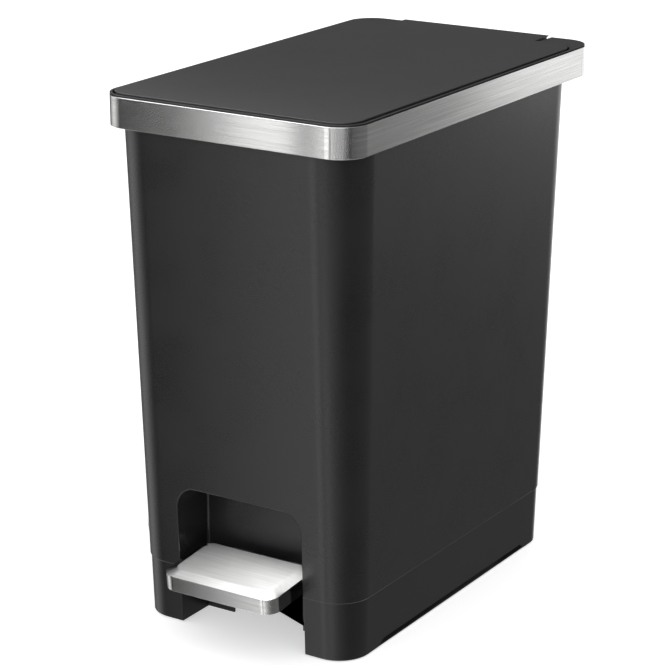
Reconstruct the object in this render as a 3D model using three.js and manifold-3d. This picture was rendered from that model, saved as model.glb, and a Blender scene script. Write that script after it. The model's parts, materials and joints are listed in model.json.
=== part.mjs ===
// Slim rectangular pedal trash can. Millimetres, +Z up. The front, with the pedal, faces -Y.
// The origin is on the floor, at the middle of the whole can's outline.
// Pressing the pedal rocks a lever on an axle in the base; the lever lifts a rod behind the bucket,
// and the rod pushes a roller on the lid's crank, which turns the lid on two short hinge pins.
import * as THREE from 'three';
import { mergeVertices } from 'three/addons/utils/BufferGeometryUtils.js';
import Module from 'manifold-3d';

const wasm = await Module();
wasm.setup();

// Driving dimensions
const GAP = 0.3;                  // between a piece and its neighbour
const ARC_DIVISIONS = 4;          // each quarter-round corner has twice as many facets
const SEAM_Z = 56.8;              // where the body stands on the base
const BAND_BOTTOM = 465;
const BAND_TOP = 492.3;
const RIM_TOP = 494;
const LID_TOP = 495.5;
const WALL = 2.6;                 // body wall
const BASE_WALL = 2.4;
const BODY_AT_SEAM = { half: 116.9, front: -188.9, back: 183.8, radius: 32.3 };
const BODY_AT_BAND = { half: 125.5, front: -204.5, back: 202.9, radius: 41 };
const BODY_TOP = 481.5;           // the body's edge stands inside the collar
const RIM = { half: 130, front: -209, back: 228, radius: 26 };
const BAND_THICKNESS = 1;
const RECESS = { half: 67, back: -145, top: 136, radius: 20 };
const LEVER_SLOT = { half: 38, back: -79, top: 66 };
const FOOT_Z = 0.8;               // underside of the moulded feet; the rubber pads reach the floor
const ARCH_Z = 6.1;               // underside of the base between the feet
const FLOOR_TOP = 9;
const FOOT_PADS = [['front_left', -88, -158], ['front_right', 88, -158],
  ['rear_left', -88, 150], ['rear_right', 88, 150]];
const BASE_SCREWS = [['front_left', -99, -170.5], ['front_right', 99, -170.5],
  ['rear_left', -99, 166], ['rear_right', 99, 166]];
const POCKET = { half: 127.5, front: -206.5, back: 199, radius: 23.5 };
const POCKET_FLOOR = 484;
const THROAT = { half: 112, front: -191, back: 184, radius: 22 };
const COLLAR_LEDGE = 2;           // thickness of the collar under the lid's seat
const BAY_HALF = 84;              // the open hinge bay at the rear of the collar
const BAY_WALL = { half: 81.6, front: 223, top: 470 };   // low rear wall of the bay
const TAB_HALF = 81;
const TAB_RIB = { thickness: 2, front: 200, back: 226, bottom: 486 };   // ribs that close the tab's ends
const TAB_SKIRT_BOTTOM = 478;
const LID_GAP = 2;
const LID_UNDER = 493.5;          // underside of the lid's top
const LID_SKIRT = { thickness: 2.5, bottom: 486.5, back: 190 };
const LID_SCREWS = [[-95, -170], [95, -170], [-95, 160], [95, 160]];
const LINER = { half: 117, front: -196, back: 186, radius: 16 };
const HINGE = { y: 212, z: 486 };
const PIN_HOLE = 2.8;
const LUG = { inside: 58.5, outside: 62, radius: 5.5 };
const BRACKET = { inside: 62.8, outside: 68.8, footOutside: 80, foot: 467.3, footThickness: 2, radius: 5 };
const CRANK_ARM = 19.6;
const CRANK_REST = THREE.MathUtils.degToRad(40);   // the arm points this far below level at rest
const CRANK_EYE = 3.8;
const CRANK_NOTCH = { half: 13, front: 186.8 };    // cut for the crank in the collar's ledge
const ROLLER_RADIUS = 4;
const AXLE = { y: 31, z: 26, radius: 3 };
const PEDAL_FRONT = { y: -228, z: 65.2 };
const PEDAL_TILT = THREE.MathUtils.degToRad(5.3);
const PEDAL_EDGE = { half: 60, front: 0, back: 71.3, radius: 13 };
const PEDAL_FLAT = { half: 50.8, front: 9.1, back: 62.2, radius: 8.4 };
const PEDAL_SKIRT = 14.8;
const PEDAL_RISE = 4;             // height of the sloped border round the pedal's flat
const SHEET = 1.2;                // pedal cover's sheet thickness
const PEDAL_STRIP_Z = -11.5;      // middle of the lever strip, below the pedal's edge line
const PEDAL_SCREWS = [-14, 14];
const PEDAL_SCREW_Y = 35;
const LEVER_HALF = 22;
const LEVER_THICKNESS = 3;
const LEVER_LEVEL = 33;           // middle of the lever strip where it runs level under the bucket
const LEVER_HEEL = 27.5;          // and at its rear end, under the rod
const ROD_TOP = { y: 194.5, z: 466 };
const ROD_SLANT = Math.atan2(BODY_AT_BAND.back - BODY_AT_SEAM.back, BAND_BOTTOM - SEAM_Z);
const ROD_RADIUS = 2.5;
const ROD_LENGTH = 433;
const ROD_CAP_RADIUS = 4.3;       // narrow enough to pass between the crank's cheeks
const ROD_SHOE_RADIUS = 4.5;
const ROD_GUIDES = [['upper', -30], ['middle', -190], ['lower', -350]];   // z along the rod
const BUCKET_FLOOR = { half: 100, front: -172, back: 158, radius: 26 };
const BUCKET_MOUTH = { half: 107.5, front: -186.5, back: 178.5, radius: 19 };
const BUCKET_BOTTOM = 62;
const BUCKET_TOP = 478;
const BUCKET_WALL = 2;
const BUCKET_STEP = 11;           // clearance of the bucket's step over the recess
const BUCKET_LIP = 3;
const SCREW_HOLE = 1.9;

// Finishes
const finish = (color, roughness, metalness = 0) =>
  new THREE.MeshStandardMaterial({ color, roughness, metalness });
const bodyPlastic = finish(0x2b2b2c, 0.5);
const basePlastic = finish(0x262627, 0.55);
const lidPlastic = finish(0x303031, 0.6);
const bucketPlastic = finish(0x3a3a3b, 0.6);
const brushedSteel = finish(0xc9c9c8, 0.28, 1);
const zincSteel = finish(0xa6a7a8, 0.4, 1);
const blackSteel = finish(0x1c1c1d, 0.45);
const rubber = finish(0x1c1c1c, 0.85);
const nylon = finish(0xd8d6cf, 0.5);

// Solids: each helper returns a closed solid that can be joined and cut
function solidOf(geometry) {
  const bare = geometry.index ? geometry.toNonIndexed() : geometry.clone();
  for (const name of Object.keys(bare.attributes)) {
    if (name !== 'position') bare.deleteAttribute(name);
  }
  const merged = mergeVertices(bare, 1e-4);
  return new wasm.Manifold(new wasm.Mesh({
    numProp: 3,
    vertProperties: Float32Array.from(merged.attributes.position.array),
    triVerts: Uint32Array.from(merged.index.array),
  }));
}

function geometryOf(solid) {
  const mesh = solid.getMesh();
  const geometry = new THREE.BufferGeometry();
  geometry.setAttribute('position', new THREE.BufferAttribute(mesh.vertProperties, 3));
  geometry.setIndex(new THREE.BufferAttribute(mesh.triVerts, 1));
  return geometry;
}

const join = (...solids) => solids.reduce((whole, next) => whole.add(next));

function box(x0, x1, y0, y1, z0, z1) {
  const geometry = new THREE.BoxGeometry(x1 - x0, y1 - y0, z1 - z0);
  return solidOf(geometry.translate((x0 + x1) / 2, (y0 + y1) / 2, (z0 + z1) / 2));
}

function upright(radius, x, y, z0, z1, sides = 20) {
  const geometry = new THREE.CylinderGeometry(radius, radius, z1 - z0, sides).rotateX(Math.PI / 2);
  return solidOf(geometry.translate(x, y, (z0 + z1) / 2));
}

function crosswise(radius, x0, x1, y, z, sides = 20) {
  const geometry = new THREE.CylinderGeometry(radius, radius, x1 - x0, sides).rotateZ(Math.PI / 2);
  return solidOf(geometry.translate((x0 + x1) / 2, y, z));
}

// A side view drawn as [y, z] points, extruded from x0 to x1
function sideProfile(points, x0, x1) {
  const shape = new THREE.Shape(points.map(([y, z]) => new THREE.Vector2(y, z)));
  const geometry = new THREE.ExtrudeGeometry(shape, { depth: x1 - x0, bevelEnabled: false });
  const turn = new THREE.Matrix4().makeBasis(
    new THREE.Vector3(0, 1, 0), new THREE.Vector3(0, 0, 1), new THREE.Vector3(1, 0, 0));
  return solidOf(geometry.applyMatrix4(turn).translate(x0, 0, 0));
}

// Rounded rectangle, mirrored about x = 0, grown outwards by an offset
function roundedRect({ half, front, back, radius }, offset = 0) {
  const r = radius + offset;
  const [x, y0, y1] = [half + offset - r, front - offset + r, back + offset - r];
  const shape = new THREE.Shape();
  shape.absarc(x, y1, r, 0, Math.PI / 2);
  shape.absarc(-x, y1, r, Math.PI / 2, Math.PI);
  shape.absarc(-x, y0, r, Math.PI, 1.5 * Math.PI);
  shape.absarc(x, y0, r, 1.5 * Math.PI, 2 * Math.PI);
  return shape;
}

function slab(rect, z0, z1, offset = 0) {
  const options = { depth: z1 - z0, bevelEnabled: false, curveSegments: ARC_DIVISIONS };
  return solidOf(new THREE.ExtrudeGeometry(roundedRect(rect, offset), options).translate(0, 0, z0));
}

// Closed skin through a stack of rounded rectangles, given as [z, rectangle, offset]
function loft(levels) {
  const rings = levels.map(([, rect, offset]) => {
    const points = roundedRect(rect, offset).getPoints(ARC_DIVISIONS);
    if (points[0].distanceTo(points.at(-1)) < 1e-6) points.pop();
    return points;
  });
  const count = rings[0].length;
  const positions = rings.flatMap((ring, i) => ring.flatMap((p) => [p.x, p.y, levels[i][0]]));
  const index = [];
  for (let level = 0; level + 1 < rings.length; level += 1) {
    for (let i = 0; i < count; i += 1) {
      const [a, b] = [level * count + i, level * count + (i + 1) % count];
      index.push(a, b, b + count, a, b + count, a + count);
    }
  }
  const last = (rings.length - 1) * count;
  for (const [a, b, c] of THREE.ShapeUtils.triangulateShape(rings[0], [])) {
    index.push(a, c, b, last + a, last + b, last + c);
  }
  const geometry = new THREE.BufferGeometry();
  geometry.setAttribute('position', new THREE.Float32BufferAttribute(positions, 3));
  geometry.setIndex(index);
  return solidOf(geometry);
}

// The can's outline at a height: straight tapered walls from the floor to the collar
function outlineAt(z) {
  const t = (z - SEAM_Z) / (BAND_BOTTOM - SEAM_Z);
  const mix = (key) => THREE.MathUtils.lerp(BODY_AT_SEAM[key], BODY_AT_BAND[key], t);
  return { half: mix('half'), front: mix('front'), back: mix('back'), radius: mix('radius') };
}

const tapered = (z0, z1, offset = 0) => loft([[z0, outlineAt(z0), offset], [z1, outlineAt(z1), offset]]);

// Toe recess, seen from the front: straight sides and a round-cornered top
function recessBlock(grow, back, z0) {
  const [half, top] = [RECESS.half + grow, RECESS.top + grow];
  const r = RECESS.radius + grow;
  const shape = new THREE.Shape();
  shape.moveTo(-half, z0);
  shape.lineTo(half, z0);
  shape.absarc(half - r, top - r, r, 0, Math.PI / 2);
  shape.absarc(-half + r, top - r, r, Math.PI / 2, Math.PI);
  const reach = 120;
  const options = { depth: reach, bevelEnabled: false, curveSegments: ARC_DIVISIONS };
  const geometry = new THREE.ExtrudeGeometry(shape, options).rotateX(Math.PI / 2);
  return solidOf(geometry.translate(0, back, 0));
}

function piece(name, solid, material, parent) {
  const mesh = new THREE.Mesh(geometryOf(solid), material);
  mesh.name = name;
  parent.add(mesh);
}

// Body: tapered shell, open above and below, with the toe recess moulded into its front
function outerBody() {
  const outside = tapered(SEAM_Z, BODY_TOP);
  const bossTop = 76;
  let body = outside.subtract(tapered(SEAM_Z - 10, BODY_TOP + 10, -WALL));
  body = body.add(recessBlock(WALL, RECESS.back + WALL, SEAM_Z).intersect(outside));
  for (const [, x, y] of BASE_SCREWS) {
    const reach = Math.sign(x) * 20;
    const web = box(Math.min(x, x + reach), Math.max(x, x + reach), y - 1.5, y + 1.5, SEAM_Z, bossTop);
    body = body.add(upright(5, x, y, SEAM_Z, bossTop)).add(web.intersect(outside));
    body = body.subtract(upright(SCREW_HOLE, x, y, SEAM_Z - 5, bossTop - 4, 12));
  }
  body = body.subtract(recessBlock(0, RECESS.back, SEAM_Z - 20));
  const slot = LEVER_SLOT.half;
  body = body.subtract(box(-slot, slot, RECESS.back - 5, RECESS.back + 5, 0, LEVER_SLOT.top));
  const notch = CRANK_NOTCH.half;
  return body.subtract(box(-notch, notch, 195, 210, BAND_BOTTOM - 3, BODY_TOP + 10));
}

// Arched underside between the front and rear feet, with an S-shaped step at each foot
function sideArch() {
  const [frontFoot, frontStep, rearStep, rearFoot] = [-139, -128, 127, 136];
  const curve = (y0, z0, y1, z1) => [0, 0.25, 0.5, 0.75, 1].map((t) => {
    const s = t * t * (3 - 2 * t);
    return [THREE.MathUtils.lerp(y0, y1, t), THREE.MathUtils.lerp(z0, z1, s)];
  });
  return sideProfile([
    [frontFoot, -1], ...curve(frontFoot, FOOT_Z - 0.1, frontStep, ARCH_Z),
    ...curve(rearStep, ARCH_Z, rearFoot, FOOT_Z - 0.1), [rearFoot, -1],
  ], -140, 140);
}

// Base: skirt with a floor, the recess carried down through it, feet, brackets and bucket rests
function base() {
  const top = SEAM_Z - GAP;
  const outside = tapered(FOOT_Z, top, -1);
  const behindRecess = RECESS.back + WALL;
  let part = outside.subtract(tapered(FLOOR_TOP, top + 10, -1 - BASE_WALL));
  const recessWalls = box(-RECESS.half - WALL, RECESS.half + WALL, -230, behindRecess, FOOT_Z, top);
  part = part.add(recessWalls.intersect(outside)).subtract(sideArch());
  part = part.subtract(box(-64.5, 64.5, behindRecess, -125, -1, ARCH_Z));
  part = part.subtract(box(-75, 75, 126, 240, -1, ARCH_Z));
  part = part.subtract(box(-RECESS.half, RECESS.half, -260, RECESS.back, -1, top + 1));
  const slot = LEVER_SLOT.half;
  part = part.subtract(box(-slot, slot, RECESS.back - 1, LEVER_SLOT.back, -1, top + 1));
  for (const side of [-1, 1]) {
    const [x0, x1] = side > 0 ? [27.5, 31.5] : [-31.5, -27.5];
    const bracket = box(x0, x1, AXLE.y - 10, AXLE.y + 10, FLOOR_TOP - 0.5, AXLE.z);
    part = part.add(bracket).add(crosswise(10, x0, x1, AXLE.y, AXLE.z));
    part = part.subtract(crosswise(5, x0 - 1, x1 + 1, AXLE.y, AXLE.z));
    const [r0, r1] = side > 0 ? [84, 87] : [-87, -84];
    part = part.add(box(r0, r1, -100, 150, FLOOR_TOP - 0.5, BUCKET_BOTTOM - GAP));
  }
  for (const [, x, y] of BASE_SCREWS) {
    part = part.add(upright(6.5, x, y, FLOOR_TOP - 0.5, top).intersect(outside));
    part = part.subtract(upright(4.2, x, y, -1, 48, 16));
    part = part.subtract(upright(SCREW_HOLE, x, y, 40, 60, 12));
  }
  for (const [, x, y] of FOOT_PADS) part = part.subtract(upright(9.4, x, y, -1, 2.9));
  return part;
}

// Collar: caps the body's edge, holds the steel band outside and makes the lid's seat inside
function rimCollar() {
  const inset = BAND_THICKNESS + GAP;
  const bayFloor = BAND_BOTTOM + 2;
  const ledge = POCKET_FLOOR - COLLAR_LEDGE;
  const channel = slab(RIM, BAND_BOTTOM - 5, ledge, -inset - 2.2)
    .subtract(slab(THROAT, BAND_BOTTOM - 6, ledge + 1, 2.5));
  let collar = slab(RIM, BAND_BOTTOM, RIM_TOP - 1, -inset);
  collar = collar.add(slab(RIM, BAND_TOP + GAP, RIM_TOP)).subtract(channel);
  const deck = slab(RIM, BAND_BOTTOM, bayFloor, -inset).intersect(box(-140, 140, 190, 240, 400, 500));
  collar = collar.add(deck.subtract(tapered(BAND_BOTTOM - 5, bayFloor + 5, 0.4)));
  collar = collar.subtract(slab(POCKET, POCKET_FLOOR, LID_TOP + 5));
  collar = collar.subtract(slab(THROAT, BAND_BOTTOM - 5, POCKET_FLOOR + 1));
  collar = collar.subtract(box(-BAY_HALF, BAY_HALF, POCKET.back, 240, ledge, LID_TOP + 5));
  collar = collar.subtract(box(-BAY_WALL.half, BAY_WALL.half, BAY_WALL.front, 240,
    BAY_WALL.top, LID_TOP + 5));
  const notch = CRANK_NOTCH.half;
  collar = collar.subtract(box(-notch, notch, CRANK_NOTCH.front, 201, BAY_WALL.top, LID_TOP + 5));
  for (const [x, y] of bracketScrews()) {
    collar = collar.subtract(upright(SCREW_HOLE, x, y, BAND_BOTTOM - 5, bayFloor + 5, 12));
  }
  return collar;
}

// Brushed strip bent round the collar, its two ends at the hinge bay
function steelBand() {
  const band = slab(RIM, BAND_BOTTOM, BAND_TOP)
    .subtract(slab(RIM, BAND_BOTTOM - 1, BAND_TOP + 1, -BAND_THICKNESS));
  return band.subtract(box(-BAY_WALL.half, BAY_WALL.half, 200, 240, BAND_BOTTOM - 1, BAND_TOP + 1));
}

// Rear tab of the lid, rounded over at the back; its skirt hangs down behind the hinge bay
function hingeTab(x0, x1, skirtBottom) {
  const [back, r, thickness] = [RIM.back, 2, 2.5];
  const corner = [0, 0.25, 0.5, 0.75, 1].map((t) => {
    const a = (Math.PI / 2) * (1 - t);
    return [back - r + r * Math.cos(a), LID_TOP - r + r * Math.sin(a)];
  });
  const skirt = skirtBottom < LID_UNDER - r
    ? [[back, skirtBottom], [back - thickness, skirtBottom], [back - thickness, LID_UNDER]]
    : [[back - 0.8, LID_UNDER]];
  const front = LID_SKIRT.back;
  return sideProfile([[front, LID_UNDER], [front, LID_TOP], ...corner, ...skirt], x0, x1);
}

// Mirrored span: [a, b] on the right, [-b, -a] on the left
const mirrored = (side, a, b) => (side > 0 ? [a, b] : [-b, -a]);

// Lid: a shallow upside-down tray with the tab at its rear and two hinge lugs under the tab
function lidPanel() {
  const tray = slab(POCKET, LID_SKIRT.bottom, LID_TOP, -LID_GAP);
  let lid = tray.subtract(slab(POCKET, POCKET_FLOOR, LID_UNDER, -LID_GAP - LID_SKIRT.thickness));
  lid = lid.subtract(box(-140, 140, LID_SKIRT.back, 240, 400, LID_UNDER));
  lid = join(lid, hingeTab(-TAB_HALF, TAB_HALF, LID_UNDER),
    hingeTab(-LUG.outside, LUG.outside, TAB_SKIRT_BOTTOM));
  for (const side of [-1, 1]) {
    const [x0, x1] = mirrored(side, LUG.inside, LUG.outside);
    const r = LUG.radius;
    lid = lid.add(box(x0, x1, HINGE.y - r, HINGE.y + r, HINGE.z, LID_UNDER + 0.5));
    lid = lid.add(crosswise(r, x0, x1, HINGE.y, HINGE.z));
    lid = lid.subtract(crosswise(PIN_HOLE, x0 - 1, x1 + 1, HINGE.y, HINGE.z));
    const [rib0, rib1] = mirrored(side, TAB_HALF - TAB_RIB.thickness, TAB_HALF);
    lid = lid.add(box(rib0, rib1, TAB_RIB.front, TAB_RIB.back, TAB_RIB.bottom, LID_UNDER + 0.5));
  }
  for (const [x, y] of LID_SCREWS) {
    lid = lid.add(upright(4, x, y, 489.8, LID_UNDER + 0.5));
    lid = lid.subtract(upright(SCREW_HOLE, x, y, 480, LID_UNDER, 12));
  }
  return lid;
}

// Liner: a shallow dish screwed up against the lid's underside
function lidLiner() {
  const [bottom, floor, wall] = [487.5, 489.5, 1.6];
  let liner = slab(LINER, bottom, LID_UNDER - GAP).subtract(slab(LINER, floor, LID_TOP, -wall));
  for (const [x, y] of LID_SCREWS) liner = liner.subtract(upright(SCREW_HOLE, x, y, 480, 492, 12));
  return liner;
}

// Screw with a low round head; the shank points up or down from the head's face
function screw(x, y, headZ, length, radius = 1.6) {
  const up = Math.sign(length);
  const [s0, s1] = [Math.min(headZ, headZ + length), Math.max(headZ, headZ + length)];
  const head = up > 0 ? upright(3, x, y, headZ - 1.5, headZ + 0.01, 12)
    : upright(3, x, y, headZ - 0.01, headZ + 1.5, 12);
  return head.add(upright(radius, x, y, s0, s1, 10));
}

function bracketScrews() {
  return [-75, 75].flatMap((x) => [210.5, 220].map((y) => [x, y]));
}

// Hinge bracket: a post with an eye for the pin, on a foot screwed to the bay's floor
function hingeBracket(side) {
  const [x0, x1] = mirrored(side, BRACKET.inside, BRACKET.outside);
  const [f0, f1] = mirrored(side, BRACKET.inside, BRACKET.footOutside);
  const r = BRACKET.radius;
  let bracket = box(f0, f1, 206.5, 224, BRACKET.foot, BRACKET.foot + BRACKET.footThickness);
  bracket = bracket.add(box(x0, x1, HINGE.y - r, HINGE.y + r, BRACKET.foot, HINGE.z));
  bracket = bracket.add(crosswise(r, x0, x1, HINGE.y, HINGE.z));
  bracket = bracket.subtract(crosswise(PIN_HOLE, x0 - 1, x1 + 1, HINGE.y, HINGE.z));
  for (const [x, y] of bracketScrews()) {
    bracket = bracket.subtract(upright(SCREW_HOLE, x, y, 460, 480, 12));
  }
  return bracket;
}

// Hinge pin: a headed pin pushed in from outside the bracket
function hingePin(side) {
  const head = BRACKET.outside + GAP;
  const shank = crosswise(2.5, ...mirrored(side, LUG.inside - 1.5, head + 1), HINGE.y, HINGE.z);
  return shank.add(crosswise(3.8, ...mirrored(side, head, head + 1.5), HINGE.y, HINGE.z));
}

const CRANK_PIN = {
  y: HINGE.y - CRANK_ARM * Math.cos(CRANK_REST),
  z: HINGE.z - CRANK_ARM * Math.sin(CRANK_REST),
};

// Crank under the lid's tab: a plate with two cheeks that carry the roller's pin
function lidCrank() {
  const plateTop = LID_UNDER - GAP;
  const eye = CRANK_EYE;
  const [sideY, sideZ] = [eye * Math.sin(CRANK_REST), eye * Math.cos(CRANK_REST)];
  let crank = box(-8, 8, 204, 222, plateTop - 2, plateTop);
  for (const [x0, x1] of [[-6.6, -4.6], [4.6, 6.6]]) {
    crank = crank.add(sideProfile([
      [CRANK_PIN.y - sideY, CRANK_PIN.z + sideZ], [CRANK_PIN.y + sideY, CRANK_PIN.z - sideZ],
      [219, 486], [219, plateTop - 1], [205, plateTop - 1],
    ], x0, x1)).add(crosswise(eye, x0, x1, CRANK_PIN.y, CRANK_PIN.z));
  }
  return crank.subtract(crosswise(SCREW_HOLE, -10, 10, CRANK_PIN.y, CRANK_PIN.z, 12));
}

const ring = (outer, inner, x0, x1, y, z) =>
  crosswise(outer, x0, x1, y, z, 24).subtract(crosswise(inner, x0 - 1, x1 + 1, y, z, 24));

// Lift rod and what is on it, in a frame whose z axis runs up the rod
const rodShaft = () => upright(ROD_RADIUS, 0, 0, -ROD_LENGTH, -0.8, 16);
const rodCap = () => upright(ROD_CAP_RADIUS, 0, 0, -5, 2.6)
  .subtract(upright(ROD_RADIUS + GAP, 0, 0, -6, -0.5, 16));
const rodShoe = () => upright(ROD_SHOE_RADIUS, 0, 0, -ROD_LENGTH - 3.8, -ROD_LENGTH + 7)
  .subtract(upright(ROD_RADIUS + GAP, 0, 0, -ROD_LENGTH - GAP, -ROD_LENGTH + 8, 16));
const rodGuide = (z) => box(-10, 10, -6.5, 5.5, z - 5, z + 5)
  .subtract(upright(ROD_RADIUS + GAP, 0, 0, z - 6, z + 6, 16));

// Outline of a bent strip: the centre line is offset by half the thickness to each side
function bentStrip(line, thickness) {
  const points = line.map(([y, z]) => new THREE.Vector2(y, z));
  const normals = points.map((p, i) => {
    const before = points[Math.max(i - 1, 0)];
    const after = points[Math.min(i + 1, points.length - 1)];
    const d1 = i > 0 ? p.clone().sub(before).normalize() : after.clone().sub(p).normalize();
    const d2 = i + 1 < points.length ? after.clone().sub(p).normalize() : d1;
    const mitre = d1.clone().add(d2).normalize();
    return new THREE.Vector2(-mitre.y, mitre.x).divideScalar(mitre.dot(d1));
  });
  const side = (sign) => points.map((p, i) => p.clone().addScaledVector(normals[i], sign * thickness / 2));
  return [...side(-1), ...side(1).reverse()].map((p) => [p.x, p.y]);
}

// A point of the pedal's own tilted side view, as [y, z] of the can
function onPedal(y, z) {
  const [s, c] = [Math.sin(PEDAL_TILT), Math.cos(PEDAL_TILT)];
  return [PEDAL_FRONT.y + y * c - z * s, PEDAL_FRONT.z + y * s + z * c];
}

function tiltWithPedal(solidGeometry) {
  const place = new THREE.Matrix4().makeRotationX(PEDAL_TILT)
    .setPosition(0, PEDAL_FRONT.y, PEDAL_FRONT.z);
  return solidOf(solidGeometry.applyMatrix4(place));
}

// Lever: a bent steel strip from under the pedal to under the rod, with two ears on the axle
function pedalLever() {
  const line = [onPedal(10, PEDAL_STRIP_Z), onPedal(72, PEDAL_STRIP_Z), [-146, 61.2], [-139, 58],
    [-104, 35], [-97, LEVER_LEVEL], [125, LEVER_LEVEL], [150, LEVER_HEEL], [177.5, LEVER_HEEL]];
  let lever = sideProfile(bentStrip(line, LEVER_THICKNESS), -LEVER_HALF, LEVER_HALF);
  for (const side of [-1, 1]) {
    const [x0, x1] = mirrored(side, LEVER_HALF - LEVER_THICKNESS, LEVER_HALF);
    lever = lever.add(box(x0, x1, AXLE.y - 14, AXLE.y + 14, AXLE.z, LEVER_LEVEL));
    lever = lever.add(crosswise(7, x0, x1, AXLE.y, AXLE.z));
  }
  lever = lever.subtract(crosswise(AXLE.radius + GAP, -30, 30, AXLE.y, AXLE.z));
  for (const x of PEDAL_SCREWS) {
    const hole = new THREE.CylinderGeometry(SCREW_HOLE, SCREW_HOLE, 10, 12).rotateX(Math.PI / 2);
    lever = lever.subtract(tiltWithPedal(hole.translate(x, PEDAL_SCREW_Y, PEDAL_STRIP_Z)));
  }
  return lever;
}

// Pedal pieces, in the pedal's own frame: y runs back from the front edge, z = 0 at the edge line
function pedalCover() {
  const outside = loft([[-PEDAL_SKIRT, PEDAL_EDGE, 0], [0, PEDAL_EDGE, 0], [PEDAL_RISE, PEDAL_FLAT, 0]]);
  const inside = loft([[-PEDAL_SKIRT - 5, PEDAL_EDGE, -SHEET], [-0.6, PEDAL_EDGE, -SHEET],
    [PEDAL_RISE - SHEET, PEDAL_FLAT, -0.8]]);
  const notchHalf = LEVER_HALF + 2.5;
  return outside.subtract(inside).subtract(box(-notchHalf, notchHalf, 60, 80, -20, -8.5));
}

function pedalCore() {
  const bottom = PEDAL_STRIP_Z + LEVER_THICKNESS / 2 + GAP;
  let core = loft([[bottom, PEDAL_EDGE, -SHEET - GAP], [-1, PEDAL_EDGE, -SHEET - GAP],
    [PEDAL_RISE - SHEET - GAP - 0.1, PEDAL_FLAT, -1.2]]);
  for (const x of PEDAL_SCREWS) {
    core = core.subtract(upright(SCREW_HOLE, x, PEDAL_SCREW_Y, -20, -3.5, 12));
  }
  return core;
}

// Bucket: tapered, stepped over the recess, with a lip round its mouth
function innerBucket() {
  const stepBack = RECESS.back + BUCKET_STEP;
  const stepTop = RECESS.top + BUCKET_STEP;
  const wall = BUCKET_WALL;
  const outside = loft([[BUCKET_BOTTOM, BUCKET_FLOOR, 0], [BUCKET_TOP, BUCKET_MOUTH, 0]])
    .subtract(box(-140, 140, -240, stepBack, 0, stepTop));
  const inside = loft([[BUCKET_BOTTOM + wall, BUCKET_FLOOR, -wall], [BUCKET_TOP + 5, BUCKET_MOUTH, -wall]])
    .subtract(box(-140, 140, -240, stepBack + wall, 0, stepTop + wall));
  const lip = slab(BUCKET_MOUTH, BUCKET_TOP - 3.5, BUCKET_TOP, BUCKET_LIP)
    .subtract(slab(BUCKET_MOUTH, BUCKET_TOP - 5, BUCKET_TOP + 1, -1));
  return outside.add(lip).subtract(inside);
}

// Assembly
const can = new THREE.Group();

piece('outer_body', outerBody(), bodyPlastic, can);
piece('base', base(), basePlastic, can);
for (const [place, x, y] of FOOT_PADS) {
  piece(`foot_pad_${place}`, upright(9.1, x, y, 0, 2.6), rubber, can);
}
for (const [place, x, y] of BASE_SCREWS) {
  piece(`base_screw_${place}`, screw(x, y, 47.7, 20), zincSteel, can);
}
piece('rim_collar', rimCollar(), bodyPlastic, can);
piece('steel_band', steelBand(), brushedSteel, can);
piece('lid_panel', lidPanel(), lidPlastic, can);
piece('lid_liner', lidLiner(), lidPlastic, can);
LID_SCREWS.forEach(([x, y], i) => piece(`lid_screw_${i + 1}`, screw(x, y, 487.2, 6), zincSteel, can));
for (const [place, x] of [['left', -90], ['right', 90]]) {
  const bumper = box(x - 6, x + 6, -204.3, -202.3, POCKET_FLOOR + GAP, POCKET_FLOOR + 2.2);
  piece(`lid_bumper_${place}`, bumper, rubber, can);
}
for (const [place, side] of [['left', -1], ['right', 1]]) {
  piece(`hinge_bracket_${place}`, hingeBracket(side), bodyPlastic, can);
  piece(`hinge_pin_${place}`, hingePin(side), zincSteel, can);
}
bracketScrews().forEach(([x, y], i) => {
  const headZ = BRACKET.foot + BRACKET.footThickness + GAP;
  piece(`bracket_screw_${i + 1}`, screw(x, y, headZ, -4.2), zincSteel, can);
});
piece('lid_crank', lidCrank(), zincSteel, can);
piece('crank_pin', crosswise(1.6, -7.6, 7.6, CRANK_PIN.y, CRANK_PIN.z, 12), zincSteel, can);
piece('crank_roller', ring(ROLLER_RADIUS, SCREW_HOLE, -4.2, 4.2, CRANK_PIN.y, CRANK_PIN.z), nylon, can);

const rod = new THREE.Group();
rod.position.set(0, ROD_TOP.y, ROD_TOP.z);
rod.rotation.x = -ROD_SLANT;
can.add(rod);
piece('lift_rod', rodShaft(), zincSteel, rod);
piece('rod_cap', rodCap(), nylon, rod);
piece('rod_shoe', rodShoe(), nylon, rod);
for (const [place, z] of ROD_GUIDES) piece(`rod_guide_${place}`, rodGuide(z), bodyPlastic, rod);

piece('pedal_lever', pedalLever(), blackSteel, can);
piece('pedal_axle', crosswise(AXLE.radius, -34, 34, AXLE.y, AXLE.z), zincSteel, can);
piece('axle_bush_left', ring(4.7, 3.3, -31.8, -27.2, AXLE.y, AXLE.z), nylon, can);
piece('axle_bush_right', ring(4.7, 3.3, 27.2, 31.8, AXLE.y, AXLE.z), nylon, can);
piece('lever_buffer', box(-8, 8, 157, 173, FLOOR_TOP + GAP, 25.6), rubber, can);

const pedal = new THREE.Group();
pedal.position.set(0, PEDAL_FRONT.y, PEDAL_FRONT.z);
pedal.rotation.x = PEDAL_TILT;
can.add(pedal);
piece('pedal_cover', pedalCover(), brushedSteel, pedal);
piece('pedal_core', pedalCore(), basePlastic, pedal);
PEDAL_SCREWS.forEach((x, i) => {
  piece(`pedal_screw_${i + 1}`, screw(x, PEDAL_SCREW_Y, -13.3, 9), zincSteel, pedal);
});

piece('inner_bucket', innerBucket(), bucketPlastic, can);

export default can;
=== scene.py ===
import json
import math

import bmesh
import bpy
from mathutils import Matrix, Vector


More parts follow.
